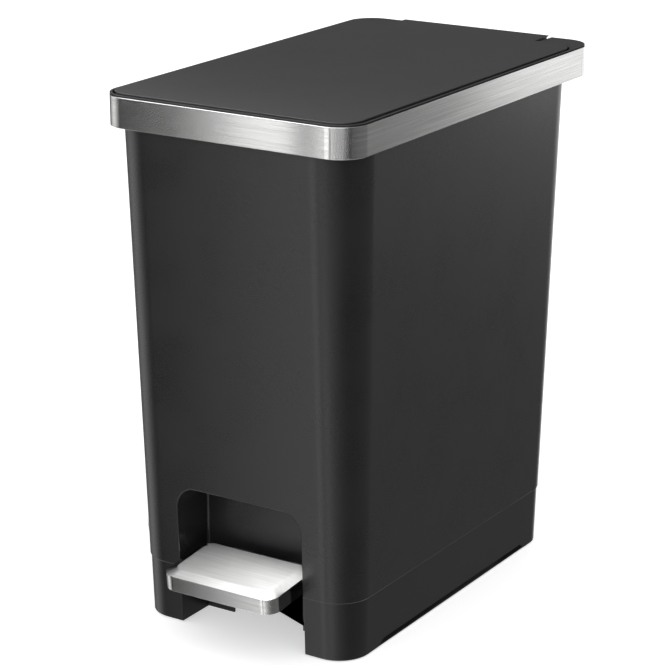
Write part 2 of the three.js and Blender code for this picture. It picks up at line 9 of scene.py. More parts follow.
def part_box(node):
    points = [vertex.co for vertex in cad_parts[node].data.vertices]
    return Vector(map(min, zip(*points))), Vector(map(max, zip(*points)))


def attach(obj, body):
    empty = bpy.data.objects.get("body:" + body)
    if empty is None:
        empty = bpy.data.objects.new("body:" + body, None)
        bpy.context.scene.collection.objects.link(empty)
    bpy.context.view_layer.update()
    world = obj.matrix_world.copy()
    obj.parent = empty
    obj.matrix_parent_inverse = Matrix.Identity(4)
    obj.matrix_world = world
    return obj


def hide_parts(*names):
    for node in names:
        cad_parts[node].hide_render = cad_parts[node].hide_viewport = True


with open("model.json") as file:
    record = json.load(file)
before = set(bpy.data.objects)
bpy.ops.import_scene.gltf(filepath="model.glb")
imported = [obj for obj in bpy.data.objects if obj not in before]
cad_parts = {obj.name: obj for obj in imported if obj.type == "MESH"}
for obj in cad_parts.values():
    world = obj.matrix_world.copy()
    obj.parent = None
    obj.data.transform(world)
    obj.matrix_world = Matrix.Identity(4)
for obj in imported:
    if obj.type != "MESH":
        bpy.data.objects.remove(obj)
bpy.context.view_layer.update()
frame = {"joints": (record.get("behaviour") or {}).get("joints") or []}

# ----------------------------------------------------------------------
# Base
# One black moulding that the whole can stands on: a skirt with a floor, the toe recess carried
# down through it, arched between its four feet. It screws up into the body from below.
# ----------------------------------------------------------------------
MM = 0.001
CORNER_STEPS = 24

# outline of the walls where the body meets the base, and where it meets the steel band
SEAM = {"half": 116.9, "front": -188.9, "back": 183.8, "radius": 32.3}
SHOULDER = {"half": 125.5, "front": -204.5, "back": 202.9, "radius": 41.0}
SEAM_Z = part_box("outer_body")[0].z / MM
SHOULDER_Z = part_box("steel_band")[0].z / MM

RECESS_HALF, RECESS_BACK = 67.0, -145.0
SLOT_HALF, SLOT_BACK = 38.0, -79.0

BASE_INSET = 1.0
BASE_WALL = 2.4
BASE_FLOOR = 9.0
GROOVE_HEIGHT, GROOVE_DEPTH = 1.9, 1.2
FOOT_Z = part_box("base")[0].z / MM
ARCH_Z = 6.1


def rounded(half, front, back, radius, inset=0.0, steps=CORNER_STEPS):
    """Ring of points round a rounded rectangle, anticlockwise seen from above, in millimetres."""
    r = radius - inset
    corners = [
        (half - radius, back - radius, 0),
        (radius - half, back - radius, 90),
        (radius - half, front + radius, 180),
        (half - radius, front + radius, 270),
    ]
    ring = []
    for x, y, start in corners:
        for step in range(steps + 1):
            turn = math.radians(start + 90 * step / steps)
            ring.append((x + r * math.cos(turn), y + r * math.sin(turn)))
    return ring


def wall_ring(z, inset=0.0):
    """The can's outline at a height: its walls taper evenly from the shoulder to the floor."""
    t = (z - SEAM_Z) / (SHOULDER_Z - SEAM_Z)
    return rounded(**{key: SEAM[key] + t * (SHOULDER[key] - SEAM[key]) for key in SEAM}, inset=inset)


def solid(name, mesh):
    """Object from a finished bmesh."""
    bmesh.ops.recalc_face_normals(mesh, faces=mesh.faces)
    data = bpy.data.meshes.new(name)
    mesh.to_mesh(data)
    mesh.free()
    made = bpy.data.objects.new(name, data)
    bpy.context.scene.collection.objects.link(made)
    return made


def skin(mesh, rings):
    """Faces between rings of equal length, with the first ring closed."""
    for low, high in zip(rings, rings[1:]):
        for i in range(len(low)):
            j = (i + 1) % len(low)
            mesh.faces.new((low[i], low[j], high[j], high[i]))
    mesh.faces.new(rings[0][::-1])


def loft(levels, name="tool"):
    """Closed solid through level rings, given as (height, ring of points)."""
    mesh = bmesh.new()
    rings = [[mesh.verts.new((x * MM, y * MM, z * MM)) for x, y in ring] for z, ring in levels]
    skin(mesh, rings)
    mesh.faces.new(rings[-1])
    return solid(name, mesh)


def swept(profile, axis, start, end, name="tool"):
    """Closed solid from a drawn profile pushed along x, y or z."""
    order = {"x": (2, 0, 1), "y": (0, 2, 1), "z": (0, 1, 2)}[axis]
    mesh = bmesh.new()
    rings = []
    for along in (start, end):
        points = [(u, v, along) for u, v in profile]
        rings.append([mesh.verts.new([point[i] * MM for i in order]) for point in points])
    skin(mesh, rings)
    mesh.faces.new(rings[1])
    return solid(name, mesh)


def both_sides(inner, outer):
    """The left and the right stretch of x between two distances from the middle."""
    return (-outer, -inner), (inner, outer)


def block(x0, x1, y0, y1, z0, z1):
    """Plain rectangular tool for cutting and joining."""
    return swept([(x0, y0), (x1, y0), (x1, y1), (x0, y1)], "z", z0, z1)


def round_bar(radius, axis, u, v, start, end, steps=48):
    """Plain round tool along x, y or z."""
    turns = [2 * math.pi * step / steps for step in range(steps)]
    profile = [(u + radius * math.cos(t), v + radius * math.sin(t)) for t in turns]
    return swept(profile, axis, start, end)


def combine(target, operation, *tools):
    """Joins the tools to the target, cuts them from it, or keeps what both share."""
    for tool in tools:
        step = target.modifiers.new("combine", "BOOLEAN")
        step.operation = operation
        step.solver = "EXACT"
        step.object = tool
        graph = bpy.context.evaluated_depsgraph_get()
        shaped = bpy.data.meshes.new_from_object(target.evaluated_get(graph))
        target.modifiers.clear()
        old = target.data
        target.data = shaped
        bpy.data.meshes.remove(old)
        bpy.data.objects.remove(tool)
    return target


def cut(target, *tools):
    return combine(target, "DIFFERENCE", *tools)


def join(target, *tools):
    return combine(target, "UNION", *tools)


def soften(piece, radius, segments=3, angle=30):
    """Rounds every sharp edge to a real moulding or pressing radius and smooths what is curved."""
    mesh = bmesh.new()
    mesh.from_mesh(piece.data)
    bmesh.ops.remove_doubles(mesh, verts=mesh.verts, dist=1e-6)
    for face in mesh.faces:
        face.smooth = True
    mesh.to_mesh(piece.data)
    mesh.free()
    edges = piece.modifiers.new("rounded edges", "BEVEL")
    edges.width = radius * MM
    edges.segments = segments
    edges.limit_method = "ANGLE"
    edges.angle_limit = math.radians(angle)
    edges.miter_outer = "MITER_ARC"
    edges.use_clamp_overlap = False
    edges.harden_normals = True
    even = piece.modifiers.new("even shading", "WEIGHTED_NORMAL")
    even.keep_sharp = True
    flat = piece.modifiers.new("flat faces as triangles", "TRIANGULATE")
    flat.keep_custom_normals = True
    return piece


def side_arch():
    """Space under the base between the feet, with an S-shaped step at each foot."""
    front_foot, front_step, rear_step, rear_foot = -139.0, -128.0, 127.0, 136.0

    def step(y0, z0, y1, z1, parts=12):
        points = [i / parts for i in range(parts + 1)]
        return [(y0 + (y1 - y0) * t, z0 + (z1 - z0) * t * t * (3 - 2 * t)) for t in points]

    profile = [(front_foot, -5)] + step(front_foot, FOOT_Z - 0.1, front_step, ARCH_Z)
    profile += step(rear_step, ARCH_Z, rear_foot, FOOT_Z - 0.1) + [(rear_foot, -5)]
    return swept(profile, "x", -140, 140)


AXLE_Y = (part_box("pedal_axle")[0].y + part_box("pedal_axle")[1].y) / 2 / MM
AXLE_Z = (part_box("pedal_axle")[0].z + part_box("pedal_axle")[1].z) / 2 / MM
BASE_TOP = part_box("base")[1].z / MM
BUCKET_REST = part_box("inner_bucket")[0].z / MM - 0.3
AXLE_LUG_IN, AXLE_LUG_OUT, AXLE_LUG_RADIUS, BUSH_HOLE = 27.5, 31.5, 10.0, 5.0
BASE_BOSS, HEAD_POCKET, PAD_POCKET, PAD_POCKET_TOP = 6.5, 4.2, 9.4, 2.9
SCREW_HOLE = 1.9
BASE_SCREWS = [(-99, -170.5), (99, -170.5), (-99, 166), (99, 166)]
FOOT_PADS = [(-88, -158), (88, -158), (-88, 150), (88, 150)]

behind = RECESS_BACK + BASE_WALL
skirt = [(z, wall_ring(z, BASE_INSET)) for z in (FOOT_Z, BASE_TOP)]
hollow = [(z, wall_ring(z, BASE_INSET + BASE_WALL)) for z in (BASE_FLOOR, BASE_TOP + 10)]
base = loft(skirt, "base_moulding")
cut(base, loft(hollow))
recess_walls = block(-RECESS_HALF - BASE_WALL, RECESS_HALF + BASE_WALL, -230, behind, FOOT_Z, BASE_TOP)
join(base, combine(recess_walls, "INTERSECT", loft(skirt)))
cut(base, side_arch())
cut(base, block(-64.5, 64.5, behind, -125, -5, ARCH_Z))
cut(base, block(-75, 75, 126, 240, -5, ARCH_Z))
cut(base, block(-RECESS_HALF, RECESS_HALF, -260, RECESS_BACK, -5, 70))
cut(base, block(-SLOT_HALF, SLOT_HALF, RECESS_BACK - 1, SLOT_BACK, -5, 70))
for near, far in both_sides(AXLE_LUG_IN, AXLE_LUG_OUT):
    lug_front, lug_back = AXLE_Y - AXLE_LUG_RADIUS, AXLE_Y + AXLE_LUG_RADIUS
    join(base, block(near, far, lug_front, lug_back, BASE_FLOOR - 0.5, AXLE_Z))
    join(base, round_bar(AXLE_LUG_RADIUS, "x", AXLE_Y, AXLE_Z, near, far))
    cut(base, round_bar(BUSH_HOLE, "x", AXLE_Y, AXLE_Z, near - 1, far + 1))
for x, y in BASE_SCREWS:
    boss = round_bar(BASE_BOSS, "z", x, y, BASE_FLOOR - 0.5, BASE_TOP)
    join(base, combine(boss, "INTERSECT", loft(skirt)))
for near, far in both_sides(84, 87):
    join(base, block(near, far, -100, 150, BASE_FLOOR - 0.5, BUCKET_REST))
groove = loft([(z, wall_ring(z, -5)) for z in (BASE_TOP - GROOVE_HEIGHT, BASE_TOP + 5)])
locating_lip = [(z, wall_ring(z, BASE_INSET + GROOVE_DEPTH)) for z in (BASE_TOP - 5, BASE_TOP + 10)]
cut(base, cut(groove, loft(locating_lip)))
for x, y in BASE_SCREWS:
    cut(base, round_bar(HEAD_POCKET, "z", x, y, -5, 48))
    cut(base, round_bar(SCREW_HOLE, "z", x, y, 40, 60))
for x, y in FOOT_PADS:
    cut(base, round_bar(PAD_POCKET, "z", x, y, -5, PAD_POCKET_TOP))
soften(base, 0.7)


def linear(colour):
    """sRGB hex to linear light, with alpha 1."""
    channels = [int(colour[i : i + 2], 16) / 255 for i in (1, 3, 5)]
    light = [c / 12.92 if c <= 0.04045 else ((c + 0.055) / 1.055) ** 2.4 for c in channels]
    return (*light, 1.0)


def node(tree, kind, inputs=None, **settings):
    """Adds a shader node; an input that is a socket is linked, and any other is set."""
    added = tree.nodes.new("ShaderNode" + kind)
    for name, value in settings.items():
        setattr(added, name, value)
    for name, value in (inputs or {}).items():
        if isinstance(value, bpy.types.NodeSocket):
            tree.links.new(value, added.inputs[name])
        else:
            added.inputs[name].default_value = value
    return added


def noise(tree, place, size, detail):
    """Noise whose pattern repeats about every so many millimetres."""
    inputs = {"Vector": place, "Scale": 1 / (size * MM), "Detail": detail}
    return node(tree, "TexNoise", inputs).outputs["Fac"]


def blend(tree, factor, first, second):
    return node(tree, "Mix", {"Factor": factor, 6: first, 7: second}, data_type="RGBA").outputs[2]


def relief(tree, height, strength, depth):
    """Bump of a real depth in millimetres."""
    inputs = {"Height": height, "Strength": strength, "Distance": depth * MM}
    return node(tree, "Bump", inputs).outputs[0]


def blank_material(name):
    material = bpy.data.materials.new(name)
    material.use_nodes = True
    material.node_tree.nodes.clear()
    return material, material.node_tree


# Polypropylene moulded against spark-eroded steel: a fine even grain that breaks the reflection
# into a satin sheen, with faint cloudiness where the melt flowed. The grain is about 0.2 mm on
# the real moulding, and is drawn at 0.7 mm so that it shows.
def moulded_polypropylene(name, colour, lighter, roughness, grain=0.7, depth=0.006):
    material, tree = blank_material(name)
    place = node(tree, "TexCoord").outputs["Object"]
    grains = noise(tree, place, grain, 3.0)
    mottle = node(tree, "Math", {0: grains, 1: noise(tree, place, 60, 4.0)}, operation="ADD")
    spread = node(tree, "MapRange", {"Value": mottle.outputs[0], "From Min": 0.7, "From Max": 1.3})
    tint = blend(tree, spread.outputs[0], linear(colour), linear(lighter))
    sheen = node(tree, "MapRange", {"Value": mottle.outputs[0], "From Min": 0.7, "From Max": 1.3,
                                    "To Min": roughness - 0.04, "To Max": roughness + 0.04})
    shader = node(tree, "BsdfPrincipled", {
        "Base Color": tint, "Roughness": sheen.outputs[0], "IOR": 1.49,
        "Normal": relief(tree, grains, 0.5, depth)})
    node(tree, "OutputMaterial", {"Surface": shader.outputs[0]})
    return material


def paint(piece, material):
    piece.data.materials.clear()
    piece.data.materials.append(material)


def finished(piece, name, body, material):
    """Puts a rebuilt piece in place of its CAD node, and lets it ride the node's body."""
    paint(piece, material)
    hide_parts(name)
    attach(piece, body)


base_plastic = moulded_polypropylene("polypropylene, base, spark grain", "#19191a", "#1d1d1e", 0.31)
finished(base, "base", "can", base_plastic)

# ----------------------------------------------------------------------
# Foot pads
# Four rubber discs pressed into round pockets under the feet. They stand 0.8 mm proud of the
# moulding, so the can rests on rubber alone, and each has a dimple left by its moulding gate.
# ----------------------------------------------------------------------
PAD_RADIUS, PAD_DIMPLE = 9.1, 3.0


def circle(radius, x=0.0, y=0.0, steps=48):
    turns = [2 * math.pi * step / steps for step in range(steps)]
    return [(x + radius * math.cos(t), y + radius * math.sin(t)) for t in turns]


def turned(profile, name="tool"):
    """Solid of revolution about the z axis through (radius, height) points, flat at both ends."""
    return loft([(z, circle(radius)) for radius, z in profile], name)


def middle(name):
    """Centre of a CAD piece's box, in millimetres."""
    low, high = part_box(name)
    return (low + high) / 2 / MM


# Rubber moulded matt: a dull black with a wide soft sheen, slightly chalky where dust sits in
# the grain. The grain is about 0.15 mm, and is drawn at 0.8 mm so that it shows.
def moulded_rubber(name):
    material, tree = blank_material(name)
    place = node(tree, "TexCoord").outputs["Object"]
    grains = noise(tree, place, 0.8, 4.0)
    shader = node(tree, "BsdfPrincipled", {
        "Base Color": blend(tree, grains, linear("#151515"), linear("#262626")), "Roughness": 0.82,
        "IOR": 1.52, "Normal": relief(tree, grains, 0.4, 0.02)})
    node(tree, "OutputMaterial", {"Surface": shader.outputs[0]})
    return material


rubber = moulded_rubber("natural rubber, moulded matt")
for place_name in ("front_left", "front_right", "rear_left", "rear_right"):
    name = "foot_pad_" + place_name
    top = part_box(name)[1].z / MM
    pad = turned([(PAD_RADIUS - 0.8, 0), (PAD_RADIUS - 0.3, 0.12), (PAD_RADIUS, 0.5), (PAD_RADIUS, top)],
                 name + "_disc")
    cut(pad, turned([(PAD_DIMPLE, -1), (PAD_DIMPLE, 0.3), (PAD_DIMPLE - 0.5, 0.5)]))
    pad.data.transform(Matrix.Translation((middle(name).x * MM, middle(name).y * MM, 0)))
    soften(pad, 0.1, 2)
    finished(pad, name, "can", rubber)

# ----------------------------------------------------------------------
# Outer body
# The tall tapered shell, moulded open above and below, with the toe recess in its front wall.
# It stands on the base's edge and overhangs it by a millimetre, which leaves a fine shadow line.
# ----------------------------------------------------------------------
BODY_WALL = 2.6
BODY_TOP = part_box("outer_body")[1].z / MM
NOTCH_HALF = 13.0
BOSS_RADIUS, BOSS_TOP, WEB_HALF = 5.0, 76.0, 1.5
RECESS_TOP, RECESS_RADIUS, RECESS_FILLET = 136.0, 20.0, 3.0
SLOT_TOP = 66.0


def recess_block(grow, back, low):
    """Toe recess as a solid: round-cornered top, and a fillet where its walls meet its back."""
    half, top, radius = RECESS_HALF + grow, RECESS_TOP + grow, RECESS_RADIUS + grow
    arcs = []
    for x, start in ((half - radius, 0), (radius - half, 90)):
        for step in range(CORNER_STEPS + 1):
            turn = math.radians(start + 90 * step / CORNER_STEPS)
            arcs.append((x + radius * math.cos(turn), top - radius + radius * math.sin(turn)))
    outline = [(-half, low), (half, low)] + arcs
    shaped = swept(outline, "y", back, back - 120)
    fillet = shaped.modifiers.new("fillet", "BEVEL")
    fillet.width = RECESS_FILLET * MM
    fillet.segments = 6
    fillet.limit_method = "ANGLE"
    fillet.angle_limit = math.radians(30)
    return shaped


shell = [(z, wall_ring(z)) for z in (SEAM_Z, BODY_TOP)]
inside = [(z, wall_ring(z, BODY_WALL)) for z in (SEAM_Z - 10, BODY_TOP + 10)]
body = loft(shell, "outer_body_moulding")
cut(body, loft(inside))
recess_shell = recess_block(BODY_WALL, RECESS_BACK + BODY_WALL, SEAM_Z - 20)
join(body, combine(recess_shell, "INTERSECT", loft(shell)))
for x, y in BASE_SCREWS:
    outer = x + math.copysign(20, x)
    web = block(min(x, outer), max(x, outer), y - WEB_HALF, y + WEB_HALF, SEAM_Z, BOSS_TOP)
    boss = round_bar(BOSS_RADIUS, "z", x, y, SEAM_Z, BOSS_TOP)
    join(body, boss, combine(web, "INTERSECT", loft(shell)))
    cut(body, round_bar(SCREW_HOLE, "z", x, y, SEAM_Z - 5, BOSS_TOP - 4))
cut(body, recess_block(0, RECESS_BACK, SEAM_Z - 20))
slot_cut = block(-SLOT_HALF, SLOT_HALF, RECESS_BACK - 5, RECESS_BACK + 5, 0, SLOT_TOP)
cut(body, slot_cut)
cut(body, block(-NOTCH_HALF, NOTCH_HALF, 195, 210, SHOULDER_Z - 3, BODY_TOP + 10))
soften(body, 0.8)
body_plastic = moulded_polypropylene("polypropylene, body, satin spark grain", "#1c1c1d", "#202021", 0.29)
finished(body, "outer_body", "can", body_plastic)

# ----------------------------------------------------------------------
# Base screws
# Four thread-forming screws that pull the body down on the base from below, through bosses in
# the base. Cold-headed steel with a pan head, a cross recess and a bright zinc plating.
# ----------------------------------------------------------------------
SCREW_HEAD, SCREW_HEAD_HEIGHT, SCREW_SHANK, SCREW_ROOT, THREAD_PITCH = 3.0, 1.5, 1.6, 1.25, 1.0


# Bright zinc plating with a clear passivation: a cool silver that varies slightly from warm to
# blue, softly blurred. Its crystals are far too fine to see, so the spangle is drawn at 1.5 mm.
def zinc_plated(name, drawn_axes=(1.0, 1.0, 1.0), roughness=0.33):
    material, tree = blank_material(name)
    place = node(tree, "TexCoord").outputs["Object"]
    along = node(tree, "Mapping", {"Vector": place, "Scale": drawn_axes})
    spangle = noise(tree, along.outputs[0], 1.5, 3.0)
    sheen = node(tree, "MapRange", {"Value": spangle, "To Min": roughness + 0.08,
                                    "To Max": roughness - 0.08})
    shader = node(tree, "BsdfPrincipled", {
        "Base Color": blend(tree, spangle, linear("#a9aaa6"), linear("#c3c8cc")), "Metallic": 1.0,
        "Roughness": sheen.outputs[0], "Normal": relief(tree, spangle, 0.2, 0.01)})
    node(tree, "OutputMaterial", {"Surface": shader.outputs[0]})
    return material


def screw(name, body, length, place):
    """Pan-head screw whose shank points up from z = 0, put where the matrix says."""
    dome = [(SCREW_HEAD * math.sin(math.radians(a)), -SCREW_HEAD_HEIGHT * math.cos(math.radians(a)))
            for a in range(20, 91, 10)]
    profile = dome + [(SCREW_SHANK, 0)]
    height = 0.4
    while height + THREAD_PITCH < length - 1:
        profile += [(SCREW_ROOT, height), (SCREW_SHANK, height + THREAD_PITCH / 2)]
        height += THREAD_PITCH
    profile += [(SCREW_ROOT, height), (SCREW_ROOT, length - 1), (0.3, length)]
    made = turned(profile, name + "_turned")
    for turn in (0, 90):
        slot = block(-1.6, 1.6, -0.28, 0.28, -SCREW_HEAD_HEIGHT - 1, -0.5)
        slot.data.transform(Matrix.Rotation(math.radians(turn), 4, "Z"))
        cut(made, slot)
    made.data.transform(place)
    soften(made, 0.08, 2)
    finished(made, name, body, zinc)


zinc = zinc_plated("steel, bright zinc plated")
for place_name in ("front_left", "front_right", "rear_left", "rear_right"):
    name = "base_screw_" + place_name
    low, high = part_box(name)
    seat = Vector((middle(name).x * MM, middle(name).y * MM, low.z + SCREW_HEAD_HEIGHT * MM))
    screw(name, "can", (high.z - seat.z) / MM, Matrix.Translation(seat))

# ----------------------------------------------------------------------
# Axle, bushes and pedal lever
# A steel strip bent to run from under the pedal to under the lift rod, black powder coated. It
# rocks on a drawn steel pin in two nylon bushes, and its rear end rests on a rubber buffer.
# ----------------------------------------------------------------------
LEVER_HALF, LEVER_THICKNESS, LEVER_LEVEL, LEVER_HEEL = 22.0, 3.0, 33.0, 27.5
PEDAL_TILT = math.radians(5.3)
PEDAL_FRONT_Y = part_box("pedal_cover")[0].y / MM
PEDAL_EDGE_Z = 65.2
PEDAL_STRIP_Z = -11.5
PEDAL_SCREWS, PEDAL_SCREW_Y = (-14.0, 14.0), 35.0
BEND_RADIUS = 6.0
EAR_REACH, EAR_RADIUS = 14.0, 7.0
AXLE_RADIUS, BUSH_RADIUS = 3.0, 4.7
pedal_edge = Matrix.Translation((0, PEDAL_FRONT_Y * MM, PEDAL_EDGE_Z * MM))
tilted = pedal_edge @ Matrix.Rotation(PEDAL_TILT, 4, "X")


def on_pedal(y, z):
    """A point of the pedal's own tilted side view, as (y, z) of the can."""
    place = tilted @ Vector((0, y * MM, z * MM))
    return place.y / MM, place.z / MM


def bent_strip(line, thickness, radius):
    """Outline of a strip along a side-view line, each bend rounded to a radius."""
    points = [Vector(p) for p in line]
    path = [points[0]]
    for before, corner, after in zip(points, points[1:], points[2:]):
        back, ahead = (before - corner).normalized(), (after - corner).normalized()
        reach = min(radius * math.tan((math.pi - back.angle(ahead)) / 2), (after - corner).length * 0.45,
                    (before - corner).length * 0.45)
        start, end = corner + back * reach, corner + ahead * reach
        for i in range(7):
            t = i / 6
            path.append(start * (1 - t) ** 2 + corner * 2 * t * (1 - t) + end * t ** 2)
    path.append(points[-1])
    sides = ([], [])
    for i, p in enumerate(path):
        along = (path[min(i + 1, len(path) - 1)] - path[max(i - 1, 0)]).normalized()
        across = Vector((-along.y, along.x)) * thickness / 2
        sides[0].append(tuple(p - across))
        sides[1].append(tuple(p + across))
    return sides[0] + sides[1][::-1]


# Black powder coat on steel: even satin black with the slight orange peel of a baked powder,
# its waves about 1.5 mm apart.
def powder_coat(name):
    material, tree = blank_material(name)
    place = node(tree, "TexCoord").outputs["Object"]
    peel = noise(tree, place, 1.5, 2.0)
    shader = node(tree, "BsdfPrincipled", {
        "Base Color": blend(tree, peel, linear("#0f0f10"), linear("#161617")), "Roughness": 0.42,
        "IOR": 1.5, "Normal": relief(tree, peel, 0.4, 0.03)})
    node(tree, "OutputMaterial", {"Surface": shader.outputs[0]})
    return material


# Natural nylon: warm white and slightly waxy, light goes a millimetre into it, and its surface
# carries faint flow marks about 4 mm apart.
def natural_nylon(name):
    material, tree = blank_material(name)
    place = node(tree, "TexCoord").outputs["Object"]
    flow = noise(tree, place, 4, 4.0)
    shader = node(tree, "BsdfPrincipled", {
        "Base Color": blend(tree, flow, linear("#cfcabc"), linear("#dedacf")), "Roughness": 0.38,
        "IOR": 1.53, "Subsurface Weight": 0.25, "Subsurface Scale": 1 * MM,
        "Normal": relief(tree, flow, 0.2, 0.02)})
    node(tree, "OutputMaterial", {"Surface": shader.outputs[0]})
    return material


nylon = natural_nylon("polyamide, natural, moulded")
LEVER_LINE = [on_pedal(10, PEDAL_STRIP_Z), on_pedal(72, PEDAL_STRIP_Z), (-142.5, 59.6), (-100.5, 33),
              (125, LEVER_LEVEL), (150, LEVER_HEEL), (177.5, LEVER_HEEL)]
lever = swept(bent_strip(LEVER_LINE, LEVER_THICKNESS, BEND_RADIUS), "x", -LEVER_HALF, LEVER_HALF,
              "pedal_lever_bent")
for near, far in both_sides(LEVER_HALF - LEVER_THICKNESS, LEVER_HALF):
    join(lever, block(near, far, AXLE_Y - EAR_REACH, AXLE_Y + EAR_REACH, AXLE_Z, LEVER_LEVEL))
    join(lever, round_bar(EAR_RADIUS, "x", AXLE_Y, AXLE_Z, near, far))
cut(lever, round_bar(AXLE_RADIUS + 0.3, "x", AXLE_Y, AXLE_Z, -30, 30))
for x in PEDAL_SCREWS:
    hole = round_bar(SCREW_HOLE, "z", x, PEDAL_SCREW_Y, PEDAL_STRIP_Z - 5, PEDAL_STRIP_Z + 5)
    hole.data.transform(tilted)
    cut(lever, hole)
soften(lever, 0.35, 2)
finished(lever, "pedal_lever", "pedal", powder_coat("steel, black powder coat"))

drawn_zinc = zinc_plated("steel rod, cold drawn and zinc plated", (0.05, 1.0, 1.0), 0.28)
axle_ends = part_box("pedal_axle")
axle = round_bar(AXLE_RADIUS, "x", AXLE_Y, AXLE_Z, axle_ends[0].x / MM, axle_ends[1].x / MM)
axle.name = "pedal_axle_pin"
soften(axle, 0.5)
finished(axle, "pedal_axle", "pedal", drawn_zinc)

for place_name in ("left", "right"):
    name = "axle_bush_" + place_name
    low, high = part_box(name)
    bush = round_bar(BUSH_RADIUS, "x", AXLE_Y, AXLE_Z, low.x / MM, high.x / MM)
    bush.name = name + "_moulded"
    cut(bush, round_bar(AXLE_RADIUS + 0.3, "x", AXLE_Y, AXLE_Z, -40, 40))
    soften(bush, 0.25)
    finished(bush, name, "can", nylon)


def cad_block(node_name, name):
    """Plain block that fills a CAD piece's box."""
    low, high = (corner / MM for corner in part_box(node_name))
    made = block(low.x, high.x, low.y, high.y, low.z, high.z)
    made.name = name
    return made


buffer = cad_block("lever_buffer", "lever_buffer_block")
soften(buffer, 1.2, 4)
finished(buffer, "lever_buffer", "can", rubber)


# ----------------------------------------------------------------------
# Pedal cover
# A cap of stainless sheet pressed over the pedal: a slightly crowned top, a sloped border and a
# straight skirt, brushed from side to side. It is tilted so that its back edge is the higher.
# ----------------------------------------------------------------------
PEDAL_EDGE = {"half": 60.0, "front": 0.0, "back": 71.3, "radius": 13.0}
PEDAL_FLAT = {"half": 50.8, "front": 9.1, "back": 62.2, "radius": 8.4}
PEDAL_RISE = 4.0
PEDAL_SKIRT = 14.8
SHEET = 1.2
EDGE_ROUND = 0.7
CROWN = 0.5
TOP_FACING, LEFT_BORDER = 0.6, 0.25


def mixed(a, b, t):
    return {key: a[key] + t * (b[key] - a[key]) for key in a}


def pedal_profile():
    """Rings of the cap from the foot of its skirt to the start of its flat top."""
    slope = math.atan2(PEDAL_RISE, PEDAL_EDGE["half"] - PEDAL_FLAT["half"])
    bend = math.pi / 2 - slope
    reach = EDGE_ROUND * math.tan(bend / 2)
    levels = [(-PEDAL_SKIRT, rounded(**PEDAL_EDGE, inset=0.3)),
              (-PEDAL_SKIRT + 0.3, rounded(**PEDAL_EDGE))]
    for i in range(7):
        turn = bend * i / 6
        inset = EDGE_ROUND * (1 - math.cos(turn))
        levels.append((-reach + EDGE_ROUND * math.sin(turn), rounded(**PEDAL_EDGE, inset=inset)))
    run = PEDAL_EDGE["half"] - PEDAL_FLAT["half"]
    start = (reach * math.cos(slope)) / run
    for i in range(1, 7):
        t = start + (0.93 - start) * i / 6
        levels.append((PEDAL_RISE * t, rounded(**mixed(PEDAL_EDGE, PEDAL_FLAT, t))))
    return levels


def crown(x, y):
    """Height of the pressed top above its border."""
    centre = (PEDAL_FLAT["front"] + PEDAL_FLAT["back"]) / 2
    depth = (PEDAL_FLAT["back"] - PEDAL_FLAT["front"]) / 2
    across, along = x / PEDAL_FLAT["half"], (y - centre) / depth
    return CROWN * (1 - (across * across + along * along) / 2)


def pedal_cap(levels, name):
    """Closed solid through the rings, with a crowned top woven from shrinking rings."""
    mesh = bmesh.new()
    top_rings = 10
    centre = (PEDAL_FLAT["front"] + PEDAL_FLAT["back"]) / 2
    for i in range(top_rings):
        keep = 1 - i / top_rings
        ring = [(x * keep, centre + (y - centre) * keep) for x, y in rounded(**PEDAL_FLAT, inset=0.15)]
        levels.append((None, ring))
    rings = []
    for z, ring in levels:
        height = [PEDAL_RISE + crown(x, y) - CROWN * 0.55 if z is None else z for x, y in ring]
        rings.append([mesh.verts.new((x * MM, y * MM, h * MM)) for (x, y), h in zip(ring, height)])
    skin(mesh, rings)
    peak = mesh.verts.new((0, centre * MM, (PEDAL_RISE + crown(0, centre) - CROWN * 0.55) * MM))
    for i in range(len(rings[-1])):
        mesh.faces.new((rings[-1][i], rings[-1][(i + 1) % len(rings[-1])], peak))
    return solid(name, mesh)


# Stainless steel finished with an abrasive belt: fine parallel scratches, which stretch every
# reflection across them and keep it sharp along them. The scratches are about 0.1 mm wide on
# the real strip, and are drawn at 0.6 mm so that they show. The metal keeps the default IOR.
def brushed_stainless(name, dark, light, scratch_axes, tangent_axis, turn, roughness, stretch, haze=0.0):
    material, tree = blank_material(name)
    place = node(tree, "TexCoord").outputs["Object"]
    stretched = node(tree, "Mapping", {"Vector": place, "Scale": scratch_axes})
    fine = noise(tree, stretched.outputs[0], 0.6, 4.0)
    broad = noise(tree, stretched.outputs[0], 1.6, 2.0)
    streaks = node(tree, "Math", {0: fine, 1: broad}, operation="ADD")
    spread = node(tree, "MapRange", {"Value": streaks.outputs[0], "From Min": 0.65, "From Max": 1.35})
    tint = blend(tree, spread.outputs[0], linear(dark), linear(light))
    sheen = node(tree, "MapRange", {"Value": streaks.outputs[0], "From Min": 0.65, "From Max": 1.35,
                                    "To Min": roughness + 0.03, "To Max": roughness - 0.03})
    tangent = node(tree, "Tangent", direction_type="RADIAL", axis=tangent_axis)
    metal = {"Base Color": tint, "Metallic": 1.0, "Anisotropic Rotation": turn,
             "Tangent": tangent.outputs[0], "Normal": relief(tree, fine, 0.15, 0.004)}
    shader = node(tree, "BsdfPrincipled", {**metal, "Roughness": sheen.outputs[0], "Anisotropic": stretch})
    scatter = node(tree, "BsdfPrincipled", {**metal, "Roughness": 0.62, "Anisotropic": 0.5})
    whole = node(tree, "MixShader", {0: haze, 1: shader.outputs[0], 2: scatter.outputs[0]})
    node(tree, "OutputMaterial", {"Surface": whole.outputs[0]})
    return material


